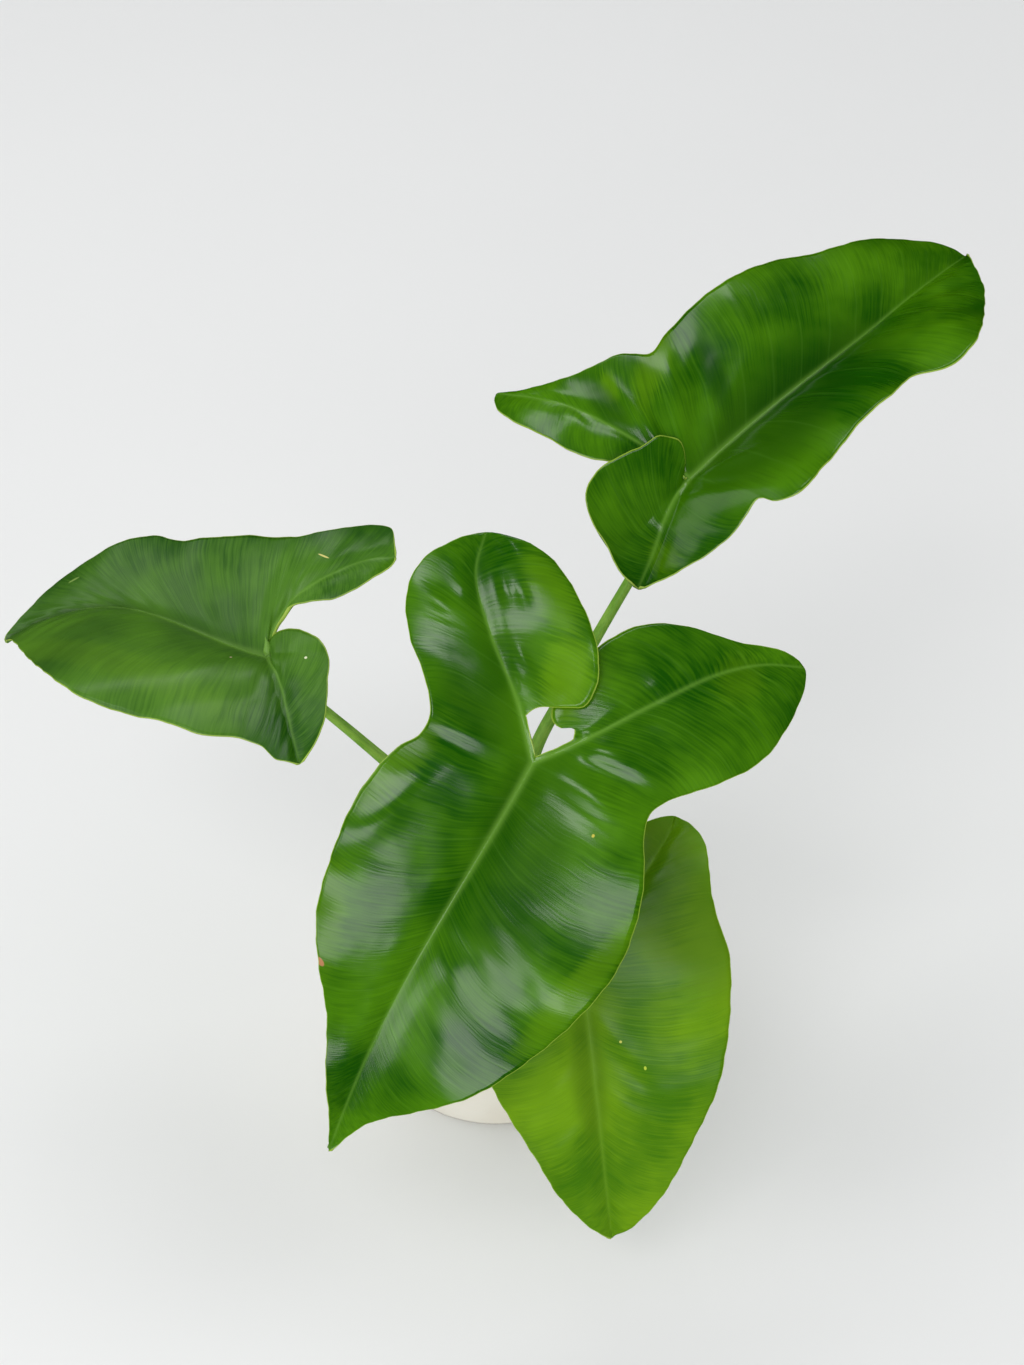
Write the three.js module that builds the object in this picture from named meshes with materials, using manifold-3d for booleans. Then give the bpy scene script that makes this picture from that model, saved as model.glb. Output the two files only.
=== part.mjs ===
// A young lacy tree philodendron with four three-lobed leaves, in a nursery pot inside a cover pot.
// Millimetres, +Z up. The origin is the centre of the cover pot's flat underside, and the largest
// leaf hangs over the pot's front, towards -Y.

import * as THREE from 'three';
import { mergeVertices } from 'three/addons/utils/BufferGeometryUtils.js';
import Module from 'manifold-3d';

// Space left between pieces that touch
const SEAT_GAP = 0.3;

// Cover pot: a plain tapered cylinder, closed below, with a rounded foot and rim
const COVER = {
  height: 108,
  footRadius: 54,
  rimRadius: 60,
  wall: 4.5,
  floor: 6,
  footRounding: 4,
  sides: 52,
};

// Nursery pot: a thin tapered pot with a turned-out rim band, which stands proud of the cover pot
const NURSERY = {
  top: 117,
  footRadius: 39,
  topRadius: 52.4,
  wall: 1.2,
  floor: 1.5,
  bandDepth: 8,
  bandRadius: 54.2,
  bandEdge: 0.6,
  drainHoles: 6,
  drainRadius: 4,
  drainCircle: 26,
  sides: 48,
};

// Potting mix: fills the nursery pot, with a low mound on top and a round hole for the stem
const MIX = {
  rimLevel: 107,
  moundHeight: 2.5,
  ringRadii: [44, 38, 32, 26.5, 21, 16, 11.5],
  holeRadius: 7.6,
  holeDepth: 14,
  bottomEdge: 0.4,
  sides: 48,
};

// Waves that make the mix lumpy: height in mm, radians per mm along X and Y, and phase
const LUMPS = [
  [0.8, 0.61, 0.53, 0.9],
  [0.7, -0.5, 0.62, 2.1],
  [0.6, 0.35, 0.97, 0],
  [0.4, 1.3, -0.8, 1.6],
];

// Stem: a short thick crown that narrows to the growing tip, with its outline as [radius, height
// above its foot]
const STEM = {
  radius: 6.6,
  outline: [
    [0, 0], [5.6, 0], [6.6, 3], [6.6, 20], [5.6, 27], [3.6, 33], [2.6, 35], [2.6, 42], [1.6, 48], [0, 54],
  ],
  sides: 20,
};

// Leaf stalks: D-shaped in section, thickest where they leave the stem
const STALK = {
  baseRadius: 3.6,
  topRadius: 1.9,
  taperPower: 1.5,
  baseLift: 5,
  claspLength: 7,
  channelDepth: 0.35,
  seatDepth: 4.1,
  sectionPoints: 8,
  steps: 20,
};

// Leaf blades: thin sheets that are thicker along their ribs. An onset is how far from its start a
// shape takes to reach its full size, in mm or as a share of the length.
const BLADE = {
  thickness: 0.8,
  ribThickness: 1.7,
  ribHalfWidth: 2.2,
  nakedHalfWidth: 1.5,
  sinusDepth: 2.2,
  ribFade: 0.7,
  columnPower: 1.35,
  veinSweep: 0.32,
  veinBow: 0.12,
  bowOnset: 0.2,
  ribGroove: 1.2,
  grooveHalfWidth: 5,
  bendPower: 1.5,
  foldFade: 0.6,
  fadeStart: 0.55,
  curlStart: 0.8,
  waveOnset: 30,
  lobeOnset: 0.5,
  innerOnset: 18,
  innerSpread: 1.3,
};

// Cells along a flank's rib and across it. Flanks that share a rib have as many rows, and flanks
// that share their first row have as many columns.
const CELLS = {
  anterior: { rows: 21, columns: 6 },
  outer: { rows: 11, columns: 6 },
  inner: { rows: 11, columns: 4 },
};

const COLOURS = {
  coverPot: 0xe2ded4,
  nurseryPot: 0x17191a,
  pottingMix: 0x2b211a,
  stem: 0x6f7f2e,
  stalk: 0x6f9a2c,
  blade: 0x2f6410,
  youngBlade: 0x4f8a17,
};

// Each leaf has its own frame: the junction of stalk and blade is its origin, "along" runs to the
// tip, "across" to the left as seen from above, and the blade's height is measured off that plane.
// An outline point is [along, outward], and outward is measured away from the midrib on either side.
const LEAVES = [
  {
    name: 'front',
    junction: [14, -75, 240],
    heading: -134,
    pitch: -49,
    roll: -30,
    tip: 160,
    midribBend: -4,
    arch: 7,
    fold: 0.3,
    foldWidth: 45,
    tipCurl: 0,
    colour: COLOURS.blade,
    stalk: {
      base: -120,
      route: [[-5, -13, 128], [0, -28, 162], [7, -52, 206]],
    },
    left: {
      waist: [-4, 44],
      blade: [
        [4, 46], [13, 51], [26, 56], [47, 59], [71, 54], [93, 46], [111, 36], [128, 21], [141, 9],
        [150, 4], [156, 2],
      ],
      outer: [[-11, 48], [-22, 59], [-37, 70], [-53, 73], [-65, 72]],
      lobeTip: [-71, 69],
      inner: [
        [-73, 60], [-69, 45], [-65, 25], [-58, 11], [-46, 2], [-30, -2], [-20, -3], [-16, -1], [-15, 3],
        [-17, 7],
      ],
      rib: [[-14, 11], [-36, 27], [-56, 43], [-66, 56]],
      naked: 0.16,
      lobeAngle: 138,
      lobeLength: 98,
      lobeRise: -8,
      innerRise: -0.05,
      wave: { height: 1.5, length: 52, phase: 0 },
    },
    right: {
      waist: [0, 39],
      blade: [
        [8, 39], [16, 44], [34, 48], [55, 47], [77, 43], [94, 34], [110, 24], [131, 14], [148, 5],
        [156, 2],
      ],
      outer: [[-10, 47], [-19, 58], [-31, 66], [-43, 67], [-54, 61]],
      lobeTip: [-62, 52],
      inner: [[-66, 38], [-65, 27], [-58, 13], [-46, -1], [-35, -7], [-26, -7], [-22, -1], [-18, 7]],
      rib: [[-17, 15], [-32, 33], [-48, 48]],
      naked: 0.2,
      lobeAngle: 140,
      lobeLength: 82,
      lobeRise: -6,
      innerRise: 0.2,
      wave: { height: 1.5, length: 46, phase: 90 },
    },
  },
  {
    name: 'low',
    junction: [32, -90, 159],
    heading: -75,
    pitch: -65,
    roll: 12,
    tip: 123,
    midribBend: 0,
    arch: 6,
    fold: 0.25,
    foldWidth: 40,
    tipCurl: 0,
    colour: COLOURS.youngBlade,
    stalk: {
      base: -50,
      route: [[9, -15, 125], [16, -36, 146], [24, -62, 158]],
    },
    left: {
      waist: [-8, 51],
      blade: [[6, 54], [21, 53], [35, 51], [53, 46], [73, 37], [90, 28], [106, 18], [118, 8]],
      outer: [[-19, 50], [-30, 50], [-38, 48]],
      lobeTip: [-44, 40],
      inner: [[-44, 31], [-39, 19], [-28, 12], [-16, 10]],
      rib: [[-13, 15], [-25, 26], [-37, 36]],
      naked: 0.2,
      lobeAngle: 140,
      lobeLength: 60,
      lobeRise: -3,
      innerRise: 0,
      wave: { height: 1.2, length: 45, phase: 0 },
    },
    right: {
      waist: [-4, 38],
      blade: [[10, 42], [25, 43], [42, 39], [60, 33], [81, 24], [99, 18], [111, 11], [119, 4]],
      outer: [[-14, 41], [-26, 45], [-36, 43]],
      lobeTip: [-43, 36],
      inner: [[-43, 26], [-36, 16], [-25, 9], [-15, 8]],
      rib: [[-13, 12], [-26, 23], [-37, 31]],
      naked: 0.2,
      lobeAngle: 140,
      lobeLength: 58,
      lobeRise: -3,
      innerRise: 0,
      wave: { height: 1.2, length: 40, phase: 60 },
    },
  },
  {
    name: 'left',
    junction: [-85, -7, 230],
    heading: 159,
    pitch: -13,
    roll: -6,
    tip: 122,
    midribBend: -16,
    arch: 6,
    fold: 0.5,
    foldWidth: 60,
    tipCurl: 2,
    colour: COLOURS.blade,
    stalk: {
      base: 180,
      route: [[-12, 0, 126], [-30, -4, 156], [-52, -7, 187], [-66, -8, 205]],
    },
    left: {
      waist: [-7, 40],
      blade: [[5, 45], [19, 45], [35, 46], [49, 46], [60, 42], [75, 33], [92, 21], [106, 10], [116, 3]],
      outer: [[-15, 40], [-22, 43]],
      lobeTip: [-29, 41],
      inner: [[-34, 34], [-35, 24], [-31, 10], [-27, -1], [-20, -7], [-12, -9], [-7, -6], [-6, 0]],
      rib: [[-9, 9], [-18, 23], [-24, 33]],
      naked: 0.16,
      lobeAngle: 125,
      lobeLength: 45,
      lobeRise: -16,
      innerRise: 0.6,
      wave: { height: 1.2, length: 48, phase: 0 },
    },
    right: {
      waist: [8, 45],
      blade: [[23, 47], [35, 44], [50, 42], [66, 46], [77, 43], [90, 38], [102, 34], [111, 26], [118, 11]],
      outer: [[-1, 46], [-10, 52], [-22, 59], [-32, 59], [-36, 53]],
      lobeTip: [-38, 47],
      inner: [[-39, 42], [-30, 32], [-20, 25], [-10, 21]],
      rib: [[1, 9], [-3, 20], [-13, 31], [-28, 43]],
      naked: 0.3,
      lobeAngle: 130,
      lobeLength: 60,
      lobeRise: 6,
      innerRise: 0.1,
      wave: { height: 1.5, length: 42, phase: 90 },
    },
  },
  {
    name: 'back',
    junction: [73, 32, 284],
    heading: 43,
    pitch: 12,
    roll: 2,
    tip: 161,
    midribBend: -4,
    arch: 6,
    fold: 0.5,
    foldWidth: 60,
    tipCurl: 3,
    colour: COLOURS.blade,
    stalk: {
      base: 30,
      route: [[11, 7, 128], [16, 9, 165], [29, 14, 195], [51, 23, 240]],
    },
    left: {
      waist: [25, 43],
      blade: [
        [37, 46], [52, 47], [68, 45], [85, 43], [97, 39], [105, 34], [118, 29], [134, 25], [148, 19],
        [157, 11],
      ],
      outer: [[18, 50], [5, 56], [-5, 63], [-14, 71]],
      lobeTip: [-22, 80],
      inner: [[-28, 73], [-29, 62], [-27, 50], [-24, 34], [-16, 22], [-8, 15]],
      rib: [[-2, 11], [-6, 29], [-10, 47], [-16, 65]],
      naked: 0.15,
      lobeAngle: 110,
      lobeLength: 80,
      lobeRise: 2,
      innerRise: 0.05,
      wave: { height: 1.5, length: 55, phase: 0 },
    },
    right: {
      waist: [0, 34],
      blade: [
        [2, 41], [9, 47], [23, 45], [43, 42], [63, 43], [77, 41], [89, 49], [102, 49], [113, 44], [128, 34],
        [142, 23], [154, 8],
      ],
      outer: [[-8, 33], [-19, 30], [-30, 25], [-38, 20]],
      lobeTip: [-43, 13],
      inner: [
        [-44, 6], [-41, -3], [-40, -10], [-37, -17], [-29, -22], [-19, -22], [-11, -19], [-5, -14],
        [-4, -7],
      ],
      rib: [[-8, 1], [-19, 4], [-31, 9]],
      naked: 0.1,
      lobeAngle: 160,
      lobeLength: 46,
      lobeRise: -14,
      innerRise: 0.7,
      wave: { height: 1.8, length: 50, phase: 30 },
    },
  },
];

const radians = THREE.MathUtils.degToRad;

// 0 below 0, 1 above 1, and a smooth step between
function ease(x) {
  return THREE.MathUtils.smoothstep(x, 0, 1);
}

function finish(colour, roughness) {
  return new THREE.MeshStandardMaterial({ color: colour, roughness, metalness: 0, side: THREE.FrontSide });
}

function namedMesh(name, geometry, material) {
  const mesh = new THREE.Mesh(geometry, material);
  mesh.name = name;
  return mesh;
}

// Keeps positions alone and joins the vertices that lie together
function weld(geometry) {
  const bare = geometry.clone();
  bare.deleteAttribute('normal');
  bare.deleteAttribute('uv');
  return mergeVertices(bare, 1e-4);
}

// Turns a profile of [radius, height] points about the Z axis
function turned(profile, sides) {
  const points = profile.map(([radius, height]) => new THREE.Vector2(radius, height));
  const geometry = new THREE.LatheGeometry(points, sides);
  geometry.rotateX(Math.PI / 2);
  return geometry;
}

function arcPoints(centre, radius, startDegrees, endDegrees, steps) {
  const points = [];
  for (let i = 0; i <= steps; i += 1) {
    const angle = radians(startDegrees + ((endDegrees - startDegrees) * i) / steps);
    points.push([centre[0] + radius * Math.cos(angle), centre[1] + radius * Math.sin(angle)]);
  }
  return points;
}

const wasm = await Module();
wasm.setup();

function toSolid(geometry) {
  const merged = weld(geometry);
  return new wasm.Manifold(
    new wasm.Mesh({
      numProp: 3,
      vertProperties: Float32Array.from(merged.attributes.position.array),
      triVerts: Uint32Array.from(merged.index.array),
    }),
  );
}

function toGeometry(solid) {
  const mesh = solid.getMesh();
  const geometry = new THREE.BufferGeometry();
  geometry.setAttribute('position', new THREE.BufferAttribute(Float32Array.from(mesh.vertProperties), 3));
  geometry.setIndex(new THREE.BufferAttribute(Uint32Array.from(mesh.triVerts), 1));
  geometry.computeVertexNormals();
  return geometry;
}

// Outer radius of the cover pot's wall at a height
function coverRadius(height) {
  return THREE.MathUtils.mapLinear(height, 0, COVER.height, COVER.footRadius, COVER.rimRadius);
}

function coverPot() {
  const rimRadius = COVER.wall / 2;
  const rimCentre = [COVER.rimRadius - rimRadius, COVER.height - rimRadius];
  const footCentre = [COVER.footRadius - COVER.footRounding, COVER.footRounding];
  const taper = THREE.MathUtils.radToDeg(Math.atan2(COVER.rimRadius - COVER.footRadius, COVER.height));
  const profile = [
    [0, 0],
    ...arcPoints(footCentre, COVER.footRounding, -90, -taper, 4),
    ...arcPoints(rimCentre, rimRadius, -taper, 180 - taper, 6),
    [coverRadius(COVER.floor) - COVER.wall, COVER.floor + COVER.footRounding],
    [coverRadius(COVER.floor) - COVER.wall - COVER.footRounding, COVER.floor],
    [0, COVER.floor],
  ];
  return turned(profile, COVER.sides);
}

const NURSERY_FOOT = COVER.floor + SEAT_GAP;

// Outer radius of the nursery pot's wall at a height
function nurseryRadius(height) {
  return THREE.MathUtils.mapLinear(height, NURSERY_FOOT, NURSERY.top, NURSERY.footRadius, NURSERY.topRadius);
}

function nurseryPot() {
  const bandBottom = NURSERY.top - NURSERY.bandDepth;
  const floorTop = NURSERY_FOOT + NURSERY.floor;
  const profile = [
    [0, NURSERY_FOOT],
    [NURSERY.footRadius, NURSERY_FOOT],
    [nurseryRadius(bandBottom), bandBottom],
    [NURSERY.bandRadius - NURSERY.bandEdge, bandBottom],
    [NURSERY.bandRadius, NURSERY.top - NURSERY.bandEdge],
    [NURSERY.bandRadius - NURSERY.bandEdge, NURSERY.top],
    [NURSERY.topRadius - NURSERY.wall, NURSERY.top],
    [nurseryRadius(floorTop) - NURSERY.wall, floorTop],
    [0, floorTop],
  ];
  let pot = toSolid(turned(profile, NURSERY.sides));
  for (let i = 0; i < NURSERY.drainHoles; i += 1) {
    const angle = (2 * Math.PI * i) / NURSERY.drainHoles;
    const drill = new THREE.CylinderGeometry(NURSERY.drainRadius, NURSERY.drainRadius, 4 * NURSERY.floor, 12);
    drill.rotateX(Math.PI / 2);
    drill.translate(
      NURSERY.drainCircle * Math.cos(angle),
      NURSERY.drainCircle * Math.sin(angle),
      NURSERY_FOOT + NURSERY.floor / 2,
    );
    pot = pot.subtract(toSolid(drill));
  }
  return toGeometry(pot);
}

// Height of the potting mix at a place: a low mound with lumps that fade out at the wall
function mixLevel(x, y) {
  const wallRadius = nurseryRadius(MIX.rimLevel) - NURSERY.wall - SEAT_GAP;
  const edge = Math.min(1, Math.hypot(x, y) / wallRadius);
  const lumps = LUMPS.reduce((sum, [height, alongX, alongY, phase]) => {
    return sum + height * Math.sin(alongX * x + alongY * y + phase);
  }, 0);
  return MIX.rimLevel + MIX.moundHeight * (1 - edge ** 2) + lumps * (1 - edge ** 6);
}

function pottingMix() {
  const bottom = NURSERY_FOOT + NURSERY.floor + SEAT_GAP;
  const clear = NURSERY.wall + SEAT_GAP;
  const wallRadius = nurseryRadius(MIX.rimLevel) - clear;
  const ringRadii = [wallRadius, ...MIX.ringRadii, MIX.holeRadius];
  const profile = [
    [0, bottom],
    [nurseryRadius(bottom) - clear - MIX.bottomEdge, bottom],
    ...ringRadii.map((radius) => [radius, MIX.rimLevel]),
    [MIX.holeRadius, MIX.rimLevel - MIX.holeDepth],
    [0, MIX.rimLevel - MIX.holeDepth],
  ];
  const geometry = turned(profile, MIX.sides);
  const position = geometry.attributes.position;
  for (let i = 0; i < position.count; i += 1) {
    if (Math.abs(position.getZ(i) - MIX.rimLevel) < 1e-3) {
      position.setZ(i, mixLevel(position.getX(i), position.getY(i)));
    }
  }
  return geometry;
}

// The stem's foot stands in the mix's hole
function stem() {
  const foot = MIX.rimLevel - MIX.holeDepth + SEAT_GAP;
  return turned(STEM.outline.map(([radius, height]) => [radius, foot + height]), STEM.sides);
}

// The leaf's frame as a matrix: along, across and the blade's normal
function leafFrame(leaf) {
  const heading = radians(leaf.heading);
  const pitch = radians(leaf.pitch);
  const along = new THREE.Vector3(
    Math.cos(pitch) * Math.cos(heading),
    Math.cos(pitch) * Math.sin(heading),
    Math.sin(pitch),
  );
  const level = new THREE.Vector3(-Math.sin(heading), Math.cos(heading), 0);
  const normal = new THREE.Vector3()
    .crossVectors(along, level)
    .multiplyScalar(Math.cos(radians(leaf.roll)))
    .addScaledVector(level, -Math.sin(radians(leaf.roll)));
  const across = new THREE.Vector3().crossVectors(normal, along);
  const matrix = new THREE.Matrix4().makeBasis(along, across, normal);
  return matrix.setPosition(...leaf.junction);
}

function midribAcross(leaf, along) {
  const reach = THREE.MathUtils.clamp(along / leaf.tip, 0, 1);
  return leaf.midribBend * Math.sin(Math.PI * reach ** BLADE.bendPower);
}

// Height of the blade off its plane, before the grooves along the ribs and the margin's wave
function bladeHeight(leaf, side, along, across) {
  const half = side > 0 ? leaf.left : leaf.right;
  const reach = along / leaf.tip;
  const outward = Math.max(0, side * (across - midribAcross(leaf, along)));
  const archHeight = 4 * leaf.arch * reach * (1 - reach);
  const flattening = 1 - BLADE.foldFade * ease((reach - BLADE.fadeStart) / (1 - BLADE.fadeStart));
  const foldHeight = leaf.fold * flattening * (outward - outward ** 2 / (2 * leaf.foldWidth));
  const tipDrop = leaf.tipCurl * (Math.max(0, reach - BLADE.curlStart) / (1 - BLADE.curlStart)) ** 2;
  const cosine = Math.cos(radians(half.lobeAngle));
  const sine = Math.sin(radians(half.lobeAngle));
  const alongLobe = (along * cosine + side * across * sine) / half.lobeLength;
  const inward = Math.max(0, -along * sine + side * across * cosine);
  const lobeHeight = half.lobeRise * alongLobe * ease(alongLobe / BLADE.lobeOnset);
  const innerHeight = half.innerRise * inward * ease(Math.hypot(along, across) / BLADE.innerOnset);
  return archHeight + foldHeight - tipDrop + lobeHeight + innerHeight;
}

function smoothCurve(points) {
  const curve = new THREE.CatmullRomCurve3(points, false, 'centripetal');
  curve.arcLengthDivisions = 24 * (points.length - 1);
  return curve;
}

// Gives the point at a fraction of the curve's length between two of its control points
function spanReader(curve, first, last) {
  const lengths = curve.getLengths();
  const total = lengths[lengths.length - 1];
  const start = lengths[24 * first] / total;
  const end = lengths[24 * last] / total;
  return (fraction) => curve.getPointAt(THREE.MathUtils.clamp(start + (end - start) * fraction, 0, 1));
}

function planePoint([along, outward], side) {
  return new THREE.Vector3(along, side * outward, 0);
}

// One side of the leaf as curves in its plane: the lobe's rib, and the margin in three spans
function halfCurves(leaf, half, side) {
  const place = (point) => planePoint(point, side);
  const rib = smoothCurve([new THREE.Vector3(), ...half.rib.map(place), place(half.lobeTip)]);
  const ribEnd = rib.getPointAt(half.naked);
  const ribWay = rib.getTangentAt(half.naked);
  const inward = new THREE.Vector3(-side * ribWay.y, side * ribWay.x, 0);
  const nakedEnd = ribEnd.clone().addScaledVector(inward, BLADE.nakedHalfWidth);
  const margin = [
    place([leaf.tip, 0]),
    ...half.blade.map(place).reverse(),
    place(half.waist),
    ...half.outer.map(place),
    place(half.lobeTip),
    ...half.inner.map(place),
    nakedEnd,
  ];
  const curve = smoothCurve(margin);
  const waistIndex = half.blade.length + 1;
  const lobeIndex = waistIndex + half.outer.length + 1;
  return {
    rib,
    blade: spanReader(curve, waistIndex, 0),
    outer: spanReader(curve, waistIndex, lobeIndex),
    inner: spanReader(curve, margin.length - 1, lobeIndex),
  };
}

function midribCurve(leaf) {
  const points = [];
  for (let i = 0; i <= 8; i += 1) {
    const along = (leaf.tip * i) / 8;
    points.push(new THREE.Vector3(along, midribAcross(leaf, along), 0));
  }
  return smoothCurve(points);
}

// A sheet of vertices in the leaf's frame that flanks are added to, welded where they share an edge
class Sheet {
  constructor() {
    this.vertices = [];
    this.thickness = [];
    this.triangles = [];
    this.lookup = new Map();
  }

  vertex(label, point, thickness) {
    const key = `${label} ${Math.round(point.x * 1e4)} ${Math.round(point.y * 1e4)}`;
    if (!this.lookup.has(key)) {
      this.lookup.set(key, this.vertices.length);
      this.vertices.push(point);
      this.thickness.push(thickness);
    }
    return this.lookup.get(key);
  }

  // Splits each cell of a grid of vertex numbers along the same diagonal, facing upwards
  addGrid(grid) {
    const cells = [];
    for (let i = 0; i + 1 < grid.length; i += 1) {
      for (let j = 0; j + 1 < grid[i].length; j += 1) {
        cells.push([grid[i][j], grid[i + 1][j], grid[i + 1][j + 1]]);
        cells.push([grid[i][j], grid[i + 1][j + 1], grid[i][j + 1]]);
      }
    }
    const whole = cells.filter(([a, b, c]) => a !== b && b !== c && c !== a);
    const area = whole.reduce((sum, cell) => sum + this.planeArea(cell), 0);
    whole.forEach(([a, b, c]) => this.triangles.push(area > 0 ? [a, b, c] : [a, c, b]));
  }

  planeArea([a, b, c]) {
    const [p, q, r] = [this.vertices[a], this.vertices[b], this.vertices[c]];
    return (q.x - p.x) * (r.y - p.y) - (q.y - p.y) * (r.x - p.x);
  }

  normals() {
    const sums = this.vertices.map(() => new THREE.Vector3());
    const edge = new THREE.Vector3();
    const other = new THREE.Vector3();
    this.triangles.forEach(([a, b, c]) => {
      edge.subVectors(this.vertices[b], this.vertices[a]);
      other.subVectors(this.vertices[c], this.vertices[a]);
      edge.cross(other);
      [a, b, c].forEach((i) => sums[i].add(edge));
    });
    return sums.map((sum) => sum.normalize());
  }

  // Edges that only one triangle uses, in that triangle's direction
  rimEdges() {
    const edges = new Map();
    this.triangles.forEach(([a, b, c]) => {
      [[a, b], [b, c], [c, a]].forEach(([from, to]) => edges.set(`${from} ${to}`, [from, to]));
    });
    return [...edges.values()].filter(([from, to]) => !edges.has(`${to} ${from}`));
  }

  // A closed body: this sheet as its upper face, a copy below it, and a wall round the rim
  solid(matrix) {
    const count = this.vertices.length;
    const normals = this.normals();
    const lower = this.vertices.map((v, i) => v.clone().addScaledVector(normals[i], -this.thickness[i]));
    const positions = [...this.vertices, ...lower].flatMap((v) => v.clone().applyMatrix4(matrix).toArray());
    const faces = this.triangles.flatMap(([a, b, c]) => [a, b, c, a + count, c + count, b + count]);
    this.rimEdges().forEach(([from, to]) => {
      faces.push(from, from + count, to + count, from, to + count, to);
    });
    const geometry = new THREE.BufferGeometry();
    geometry.setAttribute('position', new THREE.Float32BufferAttribute(positions, 3));
    geometry.setIndex(faces);
    geometry.computeVertexNormals();
    return geometry;
  }
}

// Rows run from a rib to the margin as the side veins do, bowed towards the rib's end
function addFlank(sheet, leaf, side, flank) {
  const half = side > 0 ? leaf.left : leaf.right;
  const { rows, columns } = CELLS[flank.kind];
  const grid = [];
  for (let i = 0; i <= rows; i += 1) {
    const s = i / rows;
    const foot = flank.rib.getPointAt(s);
    const end = flank.margin(s);
    const span = foot.distanceTo(end);
    const bow = flank.rib.getTangentAt(s).multiplyScalar(BLADE.veinBow * span * ease(s / BLADE.bowOnset));
    const row = [];
    for (let j = 0; j <= columns; j += 1) {
      const t = (j / columns) ** BLADE.columnPower;
      const point = foot.clone().lerp(end, t).addScaledVector(bow, 4 * t * (1 - t));
      const fromRib = t * span;
      const groove = BLADE.ribGroove * Math.exp(-((fromRib / BLADE.grooveHalfWidth) ** 2));
      const wavePhase = (2 * Math.PI * point.x) / half.wave.length + radians(half.wave.phase);
      const waveShare = t * t * ease(Math.hypot(point.x, point.y) / BLADE.waveOnset);
      const wave = half.wave.height * Math.sin(wavePhase) * waveShare;
      point.z = bladeHeight(leaf, side, point.x, point.y) - groove + wave;
      const ribShare = Math.exp(-((fromRib / BLADE.ribHalfWidth) ** 2)) * (1 - BLADE.ribFade * s);
      const onMidrib = flank.kind === 'anterior' && (j === 0 || i === rows);
      const onSinus = i === 0 && (j === 0 || flank.kind === 'inner');
      const label = onMidrib || onSinus ? 'shared' : `${side}`;
      row.push(sheet.vertex(label, point, BLADE.thickness + BLADE.ribThickness * ribShare));
    }
    grid.push(row);
  }
  sheet.addGrid(grid);
}

// The head of the gap between the two lobes, midway between their ribs
function sinusPoint(leaf) {
  const leftWay = planePoint(leaf.left.rib[0], 1).normalize();
  const rightWay = planePoint(leaf.right.rib[0], -1).normalize();
  return leftWay.add(rightWay).setLength(BLADE.sinusDepth);
}

// The margin of a lobe's inner flank: first the naked rib's own edge, then the blade's
function innerMargin(leaf, curves, half, side) {
  return (s) => {
    if (s === 0) {
      return sinusPoint(leaf);
    }
    if (s <= half.naked) {
      const way = curves.rib.getTangentAt(s);
      const inward = new THREE.Vector3(-side * way.y, side * way.x, 0);
      return curves.rib.getPointAt(s).addScaledVector(inward, BLADE.nakedHalfWidth);
    }
    return curves.inner(((s - half.naked) / (1 - half.naked)) ** BLADE.innerSpread);
  };
}

function blade(leaf) {
  const sheet = new Sheet();
  const midrib = midribCurve(leaf);
  [1, -1].forEach((side) => {
    const half = side > 0 ? leaf.left : leaf.right;
    const curves = halfCurves(leaf, half, side);
    const swept = (s) => curves.blade(s + BLADE.veinSweep * s * (1 - s));
    addFlank(sheet, leaf, side, { kind: 'anterior', rib: midrib, margin: swept });
    addFlank(sheet, leaf, side, { kind: 'outer', rib: curves.rib, margin: curves.outer });
    const sinus = innerMargin(leaf, curves, half, side);
    addFlank(sheet, leaf, side, { kind: 'inner', rib: curves.rib, margin: sinus });
  });
  return sheet.solid(leafFrame(leaf));
}

// Where the stalk meets the blade: a point just under the junction, and the blade's normal there
function stalkSeat(leaf) {
  const frame = leafFrame(leaf);
  const normal = new THREE.Vector3().setFromMatrixColumn(frame, 2);
  const point = new THREE.Vector3(...leaf.junction).addScaledVector(normal, -STALK.seatDepth);
  return { point, normal };
}

// A ring of the stalk's section: round below, with a shallow channel between two edges above
function stalkRing(centre, across, upper, radius) {
  const ring = [];
  for (let i = 0; i < STALK.sectionPoints; i += 1) {
    const angle = (2 * Math.PI * i) / STALK.sectionPoints;
    const rise = Math.sin(angle);
    const flat = rise > 0 ? rise * (1 - STALK.channelDepth) : rise;
    ring.push(
      centre.clone().addScaledVector(across, radius * Math.cos(angle)).addScaledVector(upper, radius * flat),
    );
  }
  return ring;
}

function stalk(leaf) {
  const seat = stalkSeat(leaf);
  const baseAngle = radians(leaf.stalk.base);
  const reach = STEM.radius + SEAT_GAP + STALK.baseRadius * (1 - STALK.channelDepth);
  const baseHeight = MIX.rimLevel + STALK.baseLift;
  const base = new THREE.Vector3(reach * Math.cos(baseAngle), reach * Math.sin(baseAngle), baseHeight);
  const leaving = base.clone().setZ(base.z + STALK.claspLength);
  const route = leaf.stalk.route.map((point) => new THREE.Vector3(...point));
  const curve = smoothCurve([base, leaving, ...route, seat.point]);
  const lowLevel = new THREE.Vector3(-base.y, base.x, 0).normalize();
  const topLevel = new THREE.Vector3(-seat.point.y, seat.point.x, 0).normalize();
  const rings = [];
  for (let i = 0; i <= STALK.steps; i += 1) {
    const s = i / STALK.steps;
    const tangent = curve.getTangentAt(s);
    const level = lowLevel.clone().lerp(topLevel, s);
    const across = level.addScaledVector(tangent, -level.dot(tangent)).normalize();
    const upper = new THREE.Vector3().crossVectors(tangent, across);
    const radius = STALK.topRadius + (STALK.baseRadius - STALK.topRadius) * (1 - s) ** STALK.taperPower;
    rings.push(stalkRing(curve.getPointAt(s), across, upper, radius));
  }
  mitre(rings, curve.getTangentAt(1), seat);
  return loft(rings);
}

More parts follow.
